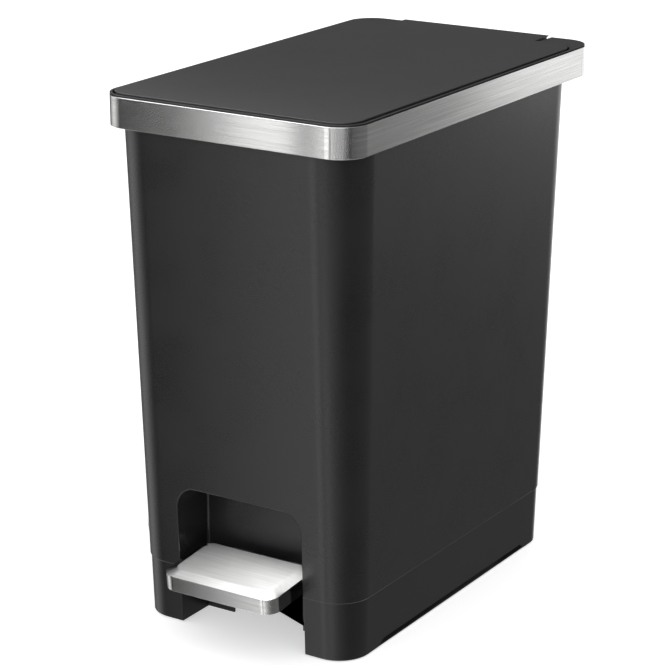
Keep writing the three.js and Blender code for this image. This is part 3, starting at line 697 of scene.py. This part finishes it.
cover = pedal_cap(pedal_profile(), "pedal_cover_pressing")
hollow_levels = [(-PEDAL_SKIRT - 5, rounded(**PEDAL_EDGE, inset=SHEET)),
                 (-0.6, rounded(**PEDAL_EDGE, inset=SHEET)),
                 (PEDAL_RISE - SHEET - 0.3, rounded(**PEDAL_FLAT, inset=0.8))]
cut(cover, loft(hollow_levels))
cut(cover, block(-24.5, 24.5, 60, 80, -20, -8.5))
for polygon in cover.data.polygons:
    polygon.use_smooth = True
smooth = cover.modifiers.new("even shading", "WEIGHTED_NORMAL")
smooth.keep_sharp = True
sharp = cover.data.attributes.new("sharp_edge", "BOOLEAN", "EDGE")
pressed = bmesh.new()
pressed.from_mesh(cover.data)
creases = [edge.calc_face_angle(0) > math.radians(40) for edge in pressed.edges]
pressed.free()
sharp.data.foreach_set("value", creases)
cover.data.transform(tilted)
pedal_steel = brushed_stainless("stainless steel, brushed across the pedal", "#c2c2c1", "#d6d6d5",
                                (0.02, 1.0, 1.0), "X", 0.0, 0.40, 1.0, 0.12)
finished(cover, "pedal_cover", "pedal", pedal_steel)
# round the skirt and on the left border the scratches run level and finer, as on the band
skirt_steel = brushed_stainless("stainless steel, brushed finer round the skirt", "#bdbdbc", "#d2d2d1",
                                (0.012, 0.012, 1.0), "Z", 0.25, 0.16, 0.98)
cover.data.materials.append(skirt_steel)
for polygon in cover.data.polygons:
    on_top = polygon.normal.z > TOP_FACING and polygon.normal.x > -LEFT_BORDER
    polygon.material_index = 0 if on_top else 1

# ----------------------------------------------------------------------
# Pedal core and its screws
# A solid black moulding inside the cap that carries the foot's weight, clamped to the lever's
# front end by two screws from below.
# ----------------------------------------------------------------------
CORE_BOTTOM = PEDAL_STRIP_Z + LEVER_THICKNESS / 2 + 0.3
core = loft([(CORE_BOTTOM, rounded(**PEDAL_EDGE, inset=SHEET + 0.3)),
             (-1, rounded(**PEDAL_EDGE, inset=SHEET + 0.3)),
             (PEDAL_RISE - SHEET - 0.4, rounded(**PEDAL_FLAT, inset=1.2))], "pedal_core_moulding")
for x in PEDAL_SCREWS:
    cut(core, round_bar(SCREW_HOLE, "z", x, PEDAL_SCREW_Y, -20, -3.5))
core.data.transform(tilted)
soften(core, 0.4)
finished(core, "pedal_core", "pedal", base_plastic)
for number, x in enumerate(PEDAL_SCREWS, 1):
    seat = Matrix.Translation((x * MM, PEDAL_SCREW_Y * MM, (PEDAL_STRIP_Z - 1.8) * MM))
    screw(f"pedal_screw_{number}", "pedal", 9, tilted @ seat)

# ----------------------------------------------------------------------
# Rim collar
# The black moulding that caps the body. Its top is the narrow strip round the lid; inside is
# the seat that the lid closes on, and at the rear an open bay for the hinge.
# ----------------------------------------------------------------------
RIM = {"half": 130.0, "front": -209.0, "back": 228.0, "radius": 26.0}
RIM_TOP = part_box("rim_collar")[1].z / MM
SEAT = {"half": 127.5, "front": -206.5, "back": 199.0, "radius": 23.5}
SEAT_Z = 484.0
THROAT = {"half": 112.0, "front": -191.0, "back": 184.0, "radius": 22.0}
LEDGE = SEAT_Z - 2
BAND_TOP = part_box("steel_band")[1].z / MM
BAND_INSET = 1.3
COLLAR_WALL = 2.2
SHADOW_GAP = 1.3
SHADOW_DEPTH = 1.9
BAY_HALF, BAY_REAR_HALF, BAY_WALL_FRONT, BAY_WALL_TOP = 84.0, 81.6, 223.0, 470.0
BAY_FLOOR = SHOULDER_Z + 2


def slab(size, low, high, inset=0.0):
    """Level slab of a rounded rectangle."""
    return loft([(low, rounded(**size, inset=inset)), (high, rounded(**size, inset=inset))])


channel = slab(RIM, SHOULDER_Z - 5, LEDGE, BAND_INSET + COLLAR_WALL)
cut(channel, slab(THROAT, SHOULDER_Z - 6, LEDGE + 1, -2.5))
collar = slab(RIM, SHOULDER_Z, RIM_TOP - 0.5, BAND_INSET)
collar.name = "rim_collar_moulding"
cap_z = BAND_TOP + SHADOW_GAP
join(collar, slab(RIM, cap_z, RIM_TOP, 0.2))
shadow_line = slab(RIM, BAND_TOP - 0.4, cap_z, -2)
cut(collar, cut(shadow_line, slab(RIM, BAND_TOP - 1, cap_z + 1, SHADOW_DEPTH)))
cut(collar, channel)
deck = slab(RIM, SHOULDER_Z, BAY_FLOOR, BAND_INSET)
combine(deck, "INTERSECT", block(-140, 140, 190, 240, 400, 500))
under_deck = loft([(z, wall_ring(z, -0.4)) for z in (SHOULDER_Z - 5, BAY_FLOOR + 5)])
join(collar, cut(deck, under_deck))
cut(collar, slab(SEAT, SEAT_Z, RIM_TOP + 8))
cut(collar, slab(THROAT, SHOULDER_Z - 5, SEAT_Z + 1))
cut(collar, block(-BAY_HALF, BAY_HALF, SEAT["back"], 240, LEDGE, RIM_TOP + 8))
bay_rear = block(-BAY_REAR_HALF, BAY_REAR_HALF, BAY_WALL_FRONT, 240, BAY_WALL_TOP, RIM_TOP + 8)
cut(collar, bay_rear)
cut(collar, block(-NOTCH_HALF, NOTCH_HALF, 186.8, 201, BAY_WALL_TOP, RIM_TOP + 8))
soften(collar, 0.15)
collar_plastic = moulded_polypropylene("polypropylene, collar, matt spark grain", "#1a1a1b", "#1e1e1f",
                                       0.55)
finished(collar, "rim_collar", "can", collar_plastic)

# ----------------------------------------------------------------------
# Steel band
# A strip of stainless steel, brushed along its length, bent round the collar with its ends at
# the hinge bay. Its long edges are rolled slightly, so they catch the light as bright hairlines.
# ----------------------------------------------------------------------
BAND_THICKNESS = 1.0
ROLL = 0.3

band = slab(RIM, SHOULDER_Z, BAND_TOP)
band.name = "steel_band_strip"
cut(band, slab(RIM, SHOULDER_Z - 1, BAND_TOP + 1, BAND_THICKNESS))
cut(band, block(-BAY_REAR_HALF, BAY_REAR_HALF, 200, 240, SHOULDER_Z - 1, BAND_TOP + 1))
soften(band, ROLL, 4)
band_steel = brushed_stainless("stainless steel, brushed round the band", "#bdbdbc", "#d2d2d1",
                               (0.012, 0.012, 1.0), "Z", 0.25, 0.16, 0.98)
finished(band, "steel_band", "can", band_steel)

# ----------------------------------------------------------------------
# Lift rod and its guides
# A drawn steel rod in the space behind the bucket, parallel to the body's rear wall. It slides
# in three black saddles fixed to that wall; a nylon shoe and a nylon cap are pushed on its ends.
# ----------------------------------------------------------------------
ROD_AXIS = Vector(next(j["axis"] for j in frame["joints"] if j["name"] == "rod_slide"))
ROD_RADIUS, CAP_RADIUS, SHOE_RADIUS = 2.5, 4.3, 4.5
ROD_LENGTH = 432.2
CAP_EDGE = 1.2
GUIDE_HALF_WIDTH, GUIDE_HALF_DEPTH, GUIDE_HALF_HEIGHT, GUIDE_BORE_Y = 10.0, 6.0, 5.0, 0.5
rod_turn = Vector((0, 0, 1)).rotation_difference(ROD_AXIS).to_matrix().to_4x4()


def on_rod(piece, name):
    """Stands a piece built about the origin along the rod, where its CAD node is."""
    piece.data.transform(Matrix.Translation(middle(name) * MM) @ rod_turn)
    return piece


def capped(radius, half, hole_from, hole_to, name):
    """Nylon end piece with a domed end at the top or bottom and a socket for the rod."""
    edge, middle_edge = CAP_EDGE, 0.3 * CAP_EDGE
    ends = [(radius - edge, -half), (radius - middle_edge, -half + middle_edge), (radius, -half + edge),
            (radius, half - edge), (radius - middle_edge, half - middle_edge), (radius - edge, half)]
    made = turned(ends, name)
    socket = turned([(ROD_RADIUS + 0.3, hole_from), (ROD_RADIUS + 0.3, hole_to)])
    return cut(made, socket)


rod_steel = zinc_plated("steel rod, cold drawn lengthwise", (1.0, 1.0, 0.05), 0.28)
rod_bar = turned([(ROD_RADIUS - 0.5, -ROD_LENGTH / 2), (ROD_RADIUS, -ROD_LENGTH / 2 + 0.5),
                  (ROD_RADIUS, ROD_LENGTH / 2 - 0.5), (ROD_RADIUS - 0.5, ROD_LENGTH / 2)], "lift_rod_bar")
soften(on_rod(rod_bar, "lift_rod"), 0.1, 2)
finished(rod_bar, "lift_rod", "rod", rod_steel)
cap = capped(CAP_RADIUS, 3.8, -5, 0.7, "rod_cap_moulded")
soften(on_rod(cap, "rod_cap"), 0.15, 2)
finished(cap, "rod_cap", "rod", nylon)
shoe = capped(SHOE_RADIUS, 5.4, -1.9, 7, "rod_shoe_moulded")
soften(on_rod(shoe, "rod_shoe"), 0.15, 2)
finished(shoe, "rod_shoe", "rod", nylon)
for place_name in ("upper", "middle", "lower"):
    name = "rod_guide_" + place_name
    guide = block(-GUIDE_HALF_WIDTH, GUIDE_HALF_WIDTH, -GUIDE_HALF_DEPTH, GUIDE_HALF_DEPTH,
                  -GUIDE_HALF_HEIGHT, GUIDE_HALF_HEIGHT)
    guide.name = name + "_saddle"
    cut(guide, round_bar(ROD_RADIUS + 0.3, "z", 0, GUIDE_BORE_Y, -6, 6))
    soften(on_rod(guide, name), 0.8)
    finished(guide, name, "can", collar_plastic)

# ----------------------------------------------------------------------
# Hinge brackets, pins and screws
# Two black moulded brackets stand in the bay under the lid's tab, each held to the bay's floor
# by two screws. A headed steel pin goes through each of them into a lug of the lid.
# ----------------------------------------------------------------------
BRACKET_IN, BRACKET_OUT, BRACKET_FOOT_OUT = 62.8, 68.8, 80.0
BRACKET_FRONT, BRACKET_BACK, BRACKET_FOOT, BRACKET_EYE = 206.5, 224.0, 2.0, 5.0
BRACKET_FOOT_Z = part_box("hinge_bracket_left")[0].z / MM
HINGE = next(joint["pos_m"] for joint in frame["joints"] if joint["name"] == "lid_hinge")
HINGE_Y, HINGE_Z = HINGE[1] / MM, HINGE[2] / MM
PIN_HOLE = 2.8
BRACKET_SCREWS = [middle(f"bracket_screw_{number}") for number in (1, 2, 3, 4)]

for side, place_name in ((-1, "left"), (1, "right")):
    name = "hinge_bracket_" + place_name
    near, far = sorted((side * BRACKET_IN, side * BRACKET_OUT))
    foot_near, foot_far = sorted((side * BRACKET_IN, side * BRACKET_FOOT_OUT))
    foot_top = BRACKET_FOOT_Z + BRACKET_FOOT
    bracket = block(foot_near, foot_far, BRACKET_FRONT, BRACKET_BACK, BRACKET_FOOT_Z, foot_top)
    bracket.name = name + "_moulding"
    join(bracket, block(near, far, HINGE_Y - BRACKET_EYE, HINGE_Y + BRACKET_EYE, BRACKET_FOOT_Z, HINGE_Z))
    join(bracket, round_bar(BRACKET_EYE, "x", HINGE_Y, HINGE_Z, near, far))
    cut(bracket, round_bar(PIN_HOLE, "x", HINGE_Y, HINGE_Z, near - 1, far + 1))
    for hole in BRACKET_SCREWS:
        cut(bracket, round_bar(SCREW_HOLE, "z", hole.x, hole.y, 460, 480))
    soften(bracket, 0.35)
    finished(bracket, name, "can", collar_plastic)

    name = "hinge_pin_" + place_name
    low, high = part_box(name)
    length = (high.x - low.x) / MM
    pin = turned([(2.0, 0), (2.5, 0.5), (2.5, length - 1.5), (3.8, length - 1.5), (3.8, length - 0.9),
                  (3.4, length - 0.3), (2.6, length)], name + "_headed")
    start = low.x if side > 0 else high.x
    turn = Matrix.Rotation(math.radians(90 * side), 4, "Y")
    pin.data.transform(Matrix.Translation((start, HINGE_Y * MM, HINGE_Z * MM)) @ turn)
    soften(pin, 0.08, 2)
    finished(pin, name, "can", zinc)

for number in (1, 2, 3, 4):
    name = f"bracket_screw_{number}"
    low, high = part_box(name)
    seat = Vector((middle(name).x * MM, middle(name).y * MM, high.z - SCREW_HEAD_HEIGHT * MM))
    upside_down = Matrix.Rotation(math.pi, 4, "X")
    screw(name, "can", (seat.z - low.z) / MM, Matrix.Translation(seat) @ upside_down)

# ----------------------------------------------------------------------
# Lid
# A shallow upside-down tray, matt black, that lies just proud of the collar. A tab at its rear
# covers the hinge bay, rounds over the back edge and hangs down as a short skirt. Its wall is
# set back under a thin edge, so the gap round it reads black.
# ----------------------------------------------------------------------
LID_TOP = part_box("lid_panel")[1].z / MM
LID_UNDER = LID_TOP - 2.0
LID_GAP = 2.0
LID_SKIRT_Z = 486.5
LID_WALL, LID_BOSS, LID_BOSS_Z = 2.0, 4.0, 489.8
LID_ROUND = 0.8
LID_EDGE, LID_UNDERCUT = 1.0, 1.2
TAB_HALF, TAB_FRONT = 81.0, 190.0
TAB_RIB, TAB_RIB_FRONT, TAB_RIB_BACK = 2.0, 200.0, 226.0
TAB_SKIRT_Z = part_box("lid_panel")[0].z / MM
LUG_IN, LUG_OUT, LUG_RADIUS = 58.5, 62.0, 5.5
LID_SCREWS = [(-95, -170), (95, -170), (-95, 160), (95, 160)]


def lid_ring(inset):
    """Outline of the lid seen from above: a rounded rectangle with the hinge tab at its rear."""
    ring = rounded(**SEAT, inset=LID_GAP + inset)
    half, rear, step = TAB_HALF - inset, RIM["back"] - inset, SEAT["back"] - LID_GAP - inset
    right_corner = CORNER_STEPS + 1
    tab = [(half, step), (half, rear), (-half, rear), (-half, step)]
    return ring[:right_corner] + tab + ring[right_corner:]


plate = [(LID_UNDER, lid_ring(LID_UNDERCUT)), (LID_TOP - LID_EDGE - 0.05, lid_ring(LID_UNDERCUT)),
         (LID_TOP - LID_EDGE, lid_ring(0))]
for i in range(9):
    turn = math.radians(90 * i / 8)
    sink = LID_ROUND * (1 - math.sin(turn))
    plate.append((LID_TOP - sink, lid_ring(LID_ROUND * (1 - math.cos(turn)))))
lid = loft(plate, "lid_moulding")
tray = slab(SEAT, LID_SKIRT_Z, LID_UNDER + 0.5, LID_GAP + LID_UNDERCUT)
cut(tray, slab(SEAT, SEAT_Z - 1, LID_UNDER + 1, LID_GAP + LID_UNDERCUT + LID_WALL))
cut(tray, block(-140, 140, TAB_FRONT, 240, 400, LID_UNDER + 1))
tab_back = RIM["back"] - LID_UNDERCUT
join(lid, tray, block(-LUG_OUT, LUG_OUT, tab_back - 2.5, tab_back, TAB_SKIRT_Z, LID_UNDER + 0.4))
rib_out = TAB_HALF - LID_UNDERCUT
for near, far in both_sides(rib_out - TAB_RIB, rib_out):
    join(lid, block(near, far, TAB_RIB_FRONT, TAB_RIB_BACK, HINGE_Z, LID_UNDER + 0.4))
for near, far in both_sides(LUG_IN, LUG_OUT):
    lug = block(near, far, HINGE_Y - LUG_RADIUS, HINGE_Y + LUG_RADIUS, HINGE_Z, LID_UNDER + 0.5)
    join(lid, lug, round_bar(LUG_RADIUS, "x", HINGE_Y, HINGE_Z, near, far))
    cut(lid, round_bar(PIN_HOLE, "x", HINGE_Y, HINGE_Z, near - 1, far + 1))
for x, y in LID_SCREWS:
    join(lid, round_bar(LID_BOSS, "z", x, y, LID_BOSS_Z, LID_UNDER + 0.5))
    cut(lid, round_bar(SCREW_HOLE, "z", x, y, 480, LID_UNDER))
soften(lid, 0.2)
lid_plastic = moulded_polypropylene("polypropylene, lid, matt grain", "#1e1e1f", "#232324", 0.60, 0.9, 0.01)
finished(lid, "lid_panel", "lid", lid_plastic)

# ----------------------------------------------------------------------
# Lid liner, screws and bumpers
# A shallow dish screwed up under the lid, which stiffens it and hides its ribs, and two small
# rubber bumpers stuck under the lid's front edge to quiet it as it falls.
# ----------------------------------------------------------------------
LINER = {"half": 117.0, "front": -196.0, "back": 186.0, "radius": 16.0}
LINER_FLOOR, LINER_WALL = 2.0, 1.6
LINER_BOTTOM, LINER_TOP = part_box("lid_liner")[0].z / MM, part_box("lid_liner")[1].z / MM

liner = slab(LINER, LINER_BOTTOM, LINER_TOP)
liner.name = "lid_liner_moulding"
cut(liner, slab(LINER, LINER_BOTTOM + LINER_FLOOR, LINER_TOP + 5, LINER_WALL))
for x, y in LID_SCREWS:
    cut(liner, round_bar(SCREW_HOLE, "z", x, y, 480, 492))
soften(liner, 0.7)
finished(liner, "lid_liner", "lid", lid_plastic)
for number in (1, 2, 3, 4):
    name = f"lid_screw_{number}"
    low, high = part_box(name)
    seat = Vector((middle(name).x * MM, middle(name).y * MM, low.z + SCREW_HEAD_HEIGHT * MM))
    screw(name, "lid", (high.z - seat.z) / MM, Matrix.Translation(seat))
for place_name in ("left", "right"):
    name = "lid_bumper_" + place_name
    bumper = cad_block(name, name + "_pad")
    soften(bumper, 0.4, 3)
    finished(bumper, name, "lid", rubber)

# ----------------------------------------------------------------------
# Lid crank and roller
# A zinc-plated pressing under the tab: a plate with two cheeks that hold a pin, and on the pin
# a nylon roller that the rod pushes up to swing the lid open.
# ----------------------------------------------------------------------
CRANK_ARM, CRANK_REST, CRANK_EYE = 19.6, math.radians(40), 3.8
ROLLER_RADIUS, CRANK_PIN_RADIUS = 4.0, 1.6
PIN_Y = HINGE_Y - CRANK_ARM * math.cos(CRANK_REST)
PIN_Z = HINGE_Z - CRANK_ARM * math.sin(CRANK_REST)
plate_top = LID_UNDER - 0.3
side_y, side_z = CRANK_EYE * math.sin(CRANK_REST), CRANK_EYE * math.cos(CRANK_REST)

crank = block(-8, 8, 204, 222, plate_top - 2, plate_top)
crank.name = "lid_crank_pressing"
for near, far in ((-6.6, -4.6), (4.6, 6.6)):
    cheek = [(PIN_Y - side_y, PIN_Z + side_z), (PIN_Y + side_y, PIN_Z - side_z), (219, 486),
             (219, plate_top - 1), (205, plate_top - 1)]
    join(crank, swept(cheek, "x", near, far))
    join(crank, round_bar(CRANK_EYE, "x", PIN_Y, PIN_Z, near, far))
cut(crank, round_bar(SCREW_HOLE, "x", PIN_Y, PIN_Z, -10, 10))
soften(crank, 0.25, 2)
finished(crank, "lid_crank", "lid", zinc)
pin_low, pin_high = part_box("crank_pin")
pin = round_bar(CRANK_PIN_RADIUS, "x", PIN_Y, PIN_Z, pin_low.x / MM, pin_high.x / MM)
pin.name = "crank_pin_bar"
soften(pin, 0.3)
finished(pin, "crank_pin", "lid", drawn_zinc)
roller_low, roller_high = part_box("crank_roller")
roller = round_bar(ROLLER_RADIUS, "x", PIN_Y, PIN_Z, roller_low.x / MM, roller_high.x / MM)
roller.name = "crank_roller_moulded"
cut(roller, round_bar(SCREW_HOLE, "x", PIN_Y, PIN_Z, -10, 10))
soften(roller, 0.4)
finished(roller, "crank_roller", "lid", nylon)

# ----------------------------------------------------------------------
# Inner bucket
# The lift-out bucket that holds the bag, a thin tapered moulding with a step over the toe
# recess and a turned-out lip round its mouth.
# ----------------------------------------------------------------------
BUCKET_FLOOR = {"half": 100.0, "front": -172.0, "back": 158.0, "radius": 26.0}
BUCKET_MOUTH = {"half": 107.5, "front": -186.5, "back": 178.5, "radius": 19.0}
BUCKET_LOW, BUCKET_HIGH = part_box("inner_bucket")[0].z / MM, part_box("inner_bucket")[1].z / MM
BUCKET_WALL = 2.0
STEP_BACK, STEP_TOP = RECESS_BACK + 11, RECESS_TOP + 11

bucket = loft([(BUCKET_LOW, rounded(**BUCKET_FLOOR)), (BUCKET_HIGH, rounded(**BUCKET_MOUTH))],
              "inner_bucket_moulding")
cut(bucket, block(-140, 140, -240, STEP_BACK, 0, STEP_TOP))
lip = slab(BUCKET_MOUTH, BUCKET_HIGH - 3.5, BUCKET_HIGH, -3)
join(bucket, lip)
bucket_inside = loft([(BUCKET_LOW + BUCKET_WALL, rounded(**BUCKET_FLOOR, inset=BUCKET_WALL)),
                      (BUCKET_HIGH + 5, rounded(**BUCKET_MOUTH, inset=BUCKET_WALL))])
step_cut = block(-140, 140, -240, STEP_BACK + BUCKET_WALL, 0, STEP_TOP + BUCKET_WALL)
cut(bucket, cut(bucket_inside, step_cut))
soften(bucket, 0.6)
bucket_plastic = moulded_polypropylene("polypropylene, bucket, matt", "#39393a", "#3f3f40", 0.50)
finished(bucket, "inner_bucket", "can", bucket_plastic)


# ----------------------------------------------------------------------
# Studio floor
# A plain pale painted floor, lifted a little towards white where the camera sees it.
# ----------------------------------------------------------------------
FLOOR_SIZE = 30.0
floor_mesh = bmesh.new()
bmesh.ops.create_grid(floor_mesh, x_segments=2, y_segments=2, size=FLOOR_SIZE / 2)
floor = solid("studio_floor", floor_mesh)
floor_paint, tree = blank_material("painted studio floor, white, matt")
place = node(tree, "TexCoord").outputs["Object"]
brushed = node(tree, "TexNoise", {"Vector": place, "Scale": 3.0, "Detail": 3.0})
tint = blend(tree, brushed.outputs["Fac"], linear("#ececec"), linear("#f0f0f0"))
matt = node(tree, "BsdfDiffuse", {"Color": tint})
seen = node(tree, "LightPath").outputs["Is Camera Ray"]
lift = node(tree, "Math", {0: seen, 1: 0.5}, operation="MULTIPLY")
glow = node(tree, "Emission", {"Color": (1, 1, 1, 1), "Strength": lift.outputs[0]})
both = node(tree, "AddShader", {0: matt.outputs[0], 1: glow.outputs[0]})
node(tree, "OutputMaterial", {"Surface": both.outputs[0]})
paint(floor, floor_paint)
floor.visible_glossy = False

# ----------------------------------------------------------------------
# Graded lights
# Two tall cards beside the can and a level one over the pedal. They are seen only in
# reflections, and their grading gives the steel its run from dark to bright.
# ----------------------------------------------------------------------

def ramp(tree, factor, stops):
    """Grey ramp through (position, brightness) stops."""
    made = node(tree, "ValToRGB", {"Fac": factor})
    elements = made.color_ramp.elements
    while len(elements) > 1:
        elements.remove(elements[-1])
    for i, (position, grey) in enumerate(stops):
        element = elements[0] if i == 0 else elements.new(position)
        element.position = position
        element.color = (grey, grey, grey, 1)
    return made.outputs["Color"]


def only_reflected(card, material):
    """Lights the card, and hides it from everything but reflections."""
    material.cycles.emission_sampling = "NONE"
    paint(card, material)
    card.visible_camera = False
    card.visible_diffuse = False
    card.visible_shadow = False


def gradient_card(name, azimuth, foot, distance, low, high, stops, strength):
    """Tall light seen only in reflections, its brightness graded across: stops are (metres, grey)."""
    left, right = stops[0][0], stops[-1][0]
    mesh = bmesh.new()
    corners = ((left, low), (right, low), (right, high), (left, high))
    mesh.faces.new([mesh.verts.new((u, 0, z)) for u, z in corners])
    card = solid(name, mesh)
    turn = math.radians(azimuth)
    away = Vector((math.sin(turn), -math.cos(turn), 0)) * distance
    card.matrix_world = Matrix.Translation(Vector(foot) + away) @ Matrix.Rotation(turn, 4, "Z")
    material, card_tree = blank_material(name + ", graded")
    across = node(card_tree, "SeparateXYZ", {0: node(card_tree, "TexCoord").outputs["Object"]})
    part = node(card_tree, "MapRange", {"Value": across.outputs["X"], "From Min": left, "From Max": right})
    graded = ramp(card_tree, part.outputs[0], [((u - left) / (right - left), grey) for u, grey in stops])
    light = node(card_tree, "Emission", {"Color": graded, "Strength": strength})
    node(card_tree, "OutputMaterial", {"Surface": light.outputs[0]})
    only_reflected(card, material)


gradient_card("front_light", -35.2, (0, -0.209, 0), 0.7, -0.6, 0.9,
              [(-0.24, 0.0), (-0.12, 0.01), (-0.06, 0.08), (-0.01, 0.36), (0.025, 0.78), (0.078, 0.92),
               (0.086, 0.10), (0.106, 0.14), (0.116, 0.80), (0.13, 0.95), (0.34, 0.95), (0.42, 0.30),
               (0.50, 0.08)], 1.6)

# the level light over the pedal, dark at its left end
TOP_HALF, TOP_FRONT, TOP_BACK = 0.5, -0.4, 0.2
top_mesh = bmesh.new()
top_corners = [top_mesh.verts.new((x, y, 0)) for x, y in (
    (-TOP_HALF, TOP_FRONT), (TOP_HALF, TOP_FRONT), (TOP_HALF, TOP_BACK), (-TOP_HALF, TOP_BACK))]
top_mesh.faces.new(top_corners[::-1])
top_light = solid("top_light", top_mesh)
top_light.matrix_world = Matrix.Translation((0, -0.46, 0.62)) @ Matrix.Rotation(math.radians(-11.5), 4, "Z")
top_glow, tree = blank_material("top light, graded")
across = node(tree, "SeparateXYZ", {0: node(tree, "TexCoord").outputs["Object"]})
part = node(tree, "MapRange", {"Value": across.outputs["X"], "From Min": -TOP_HALF, "From Max": TOP_HALF})
graded = ramp(tree, part.outputs[0], [(0.0, 0.02), (0.11, 0.03), (0.145, 1.0), (1.0, 1.0)])
glow = node(tree, "Emission", {"Color": graded, "Strength": 7.0})
node(tree, "OutputMaterial", {"Surface": glow.outputs[0]})
only_reflected(top_light, top_glow)
gradient_card("right_light", 150.8, (0.13, 0.0, 0), 0.7, 0.315, 0.9,
              [(-0.22, 0.12), (-0.10, 0.14), (-0.04, 0.24), (0.02, 0.55), (0.06, 0.68), (0.13, 0.70),
               (0.16, 0.55), (0.30, 0.9)], 2.0)

# ----------------------------------------------------------------------
# World
# Even white light on everything matt. Reflections see softboxes all round instead, as azimuth
# in degrees (0 in front, 90 on the right) with a brightness: one set high, for the band, and
# one set low, for the body. Above them the room is dim; overhead and underneath it is white.
# ----------------------------------------------------------------------
SOFTBOXES_HIGH = [(-180, 0.95), (-132, 0.95), (-124, 0.05), (-114, 0.12), (-98, 0.55), (-86, 0.80),
                  (-74, 0.75), (-62, 0.35), (-50, 0.10), (-38, 0.06), (-36, 0.35), (-34.7, 0.92),
                  (-33.4, 0.92), (-32.5, 0.35), (-28, 0.42), (-24, 1.0), (-8, 0.60), (2, 0.14),
                  (15, 0.14), (38, 0.36), (50, 0.20), (64, 0.05), (76, 0.14), (100, 0.16),
                  (147, 0.16), (150.5, 0.45), (152, 0.78), (180, 0.95)]
SOFTBOXES_LOW = [(-180, 0.95), (-132, 0.95), (-124, 0.05), (-114, 0.12), (-98, 0.55), (-86, 0.80),
                 (-74, 0.75), (-62, 0.35), (-50, 0.10), (-38, 0.20), (-36, 0.60), (-34, 1.0), (-8, 1.0),
                 (6, 0.95), (20, 0.50), (38, 0.22), (50, 0.10), (64, 0.04), (90, 0.06), (110, 0.10),
                 (147, 0.16), (170, 0.12)]


def zone(tree, height, start, end):
    """Soft change from 0 to 1 between two heights of a ray's direction."""
    return node(tree, "MapRange", {"Value": height, "From Min": start, "From Max": end},
                interpolation_type="SMOOTHSTEP").outputs[0]


def around_room(tree, azimuth, softboxes):
    return ramp(tree, azimuth, [((a + 180) / 360, bright) for a, bright in softboxes])


world = bpy.data.worlds.new("studio")
bpy.context.scene.world = world
world.use_nodes = True
tree = world.node_tree
tree.nodes.clear()
ray = node(tree, "TexCoord").outputs["Generated"]
parts = node(tree, "SeparateXYZ", {0: ray})
ahead = node(tree, "Math", {0: parts.outputs["Y"], 1: -1.0}, operation="MULTIPLY")
azimuth = node(tree, "Math", {0: parts.outputs["X"], 1: ahead.outputs[0]}, operation="ARCTAN2")
around = node(tree, "MapRange", {"Value": azimuth.outputs[0], "From Min": -math.pi, "From Max": math.pi})
height = parts.outputs["Z"]
high = around_room(tree, around.outputs[0], SOFTBOXES_HIGH)
low = around_room(tree, around.outputs[0], SOFTBOXES_LOW)
walls = blend(tree, zone(tree, height, -0.27, -0.24), low, high)
dim = blend(tree, zone(tree, height, -0.05, 0.12), walls, (0.08, 0.08, 0.08, 1))
topped = blend(tree, zone(tree, height, 0.50, 0.85), dim, (1, 1, 1, 1))
room = blend(tree, zone(tree, height, -0.55, -0.8), topped, (1, 1, 1, 1))
path = node(tree, "LightPath")
mirrored_room = node(tree, "Background", {"Color": room, "Strength": 1.35})
white_room = node(tree, "Background", {"Color": (1, 1, 1, 1), "Strength": 1.0})
lit = node(tree, "MixShader", {0: path.outputs["Is Glossy Ray"], 1: white_room.outputs[0],
                               2: mirrored_room.outputs[0]})
seen_room = node(tree, "MixShader", {0: path.outputs["Is Camera Ray"], 1: lit.outputs[0],
                                     2: white_room.outputs[0]})
node(tree, "OutputWorld", {"Surface": seen_room.outputs[0]})

# ----------------------------------------------------------------------
# Camera
# A long lens from the front right and a little above.
# ----------------------------------------------------------------------
camera_data = bpy.data.cameras.new("camera")
camera_data.lens = 131.6
camera_data.sensor_width = 36.0
camera = bpy.data.objects.new("camera", camera_data)
bpy.context.scene.collection.objects.link(camera)
camera_place = Vector((1.15893, -1.84306, 0.93603))
camera_target = Vector((-0.01986, -0.00337, 0.23914))
CAMERA_ROLL = math.radians(-0.11)
aim = (camera_target - camera_place).to_track_quat("-Z", "Y").to_matrix().to_4x4()
camera.matrix_world = Matrix.Translation(camera_place) @ aim @ Matrix.Rotation(CAMERA_ROLL, 4, "Z")
bpy.context.scene.camera = camera
bpy.context.scene.view_settings.view_transform = "Standard"
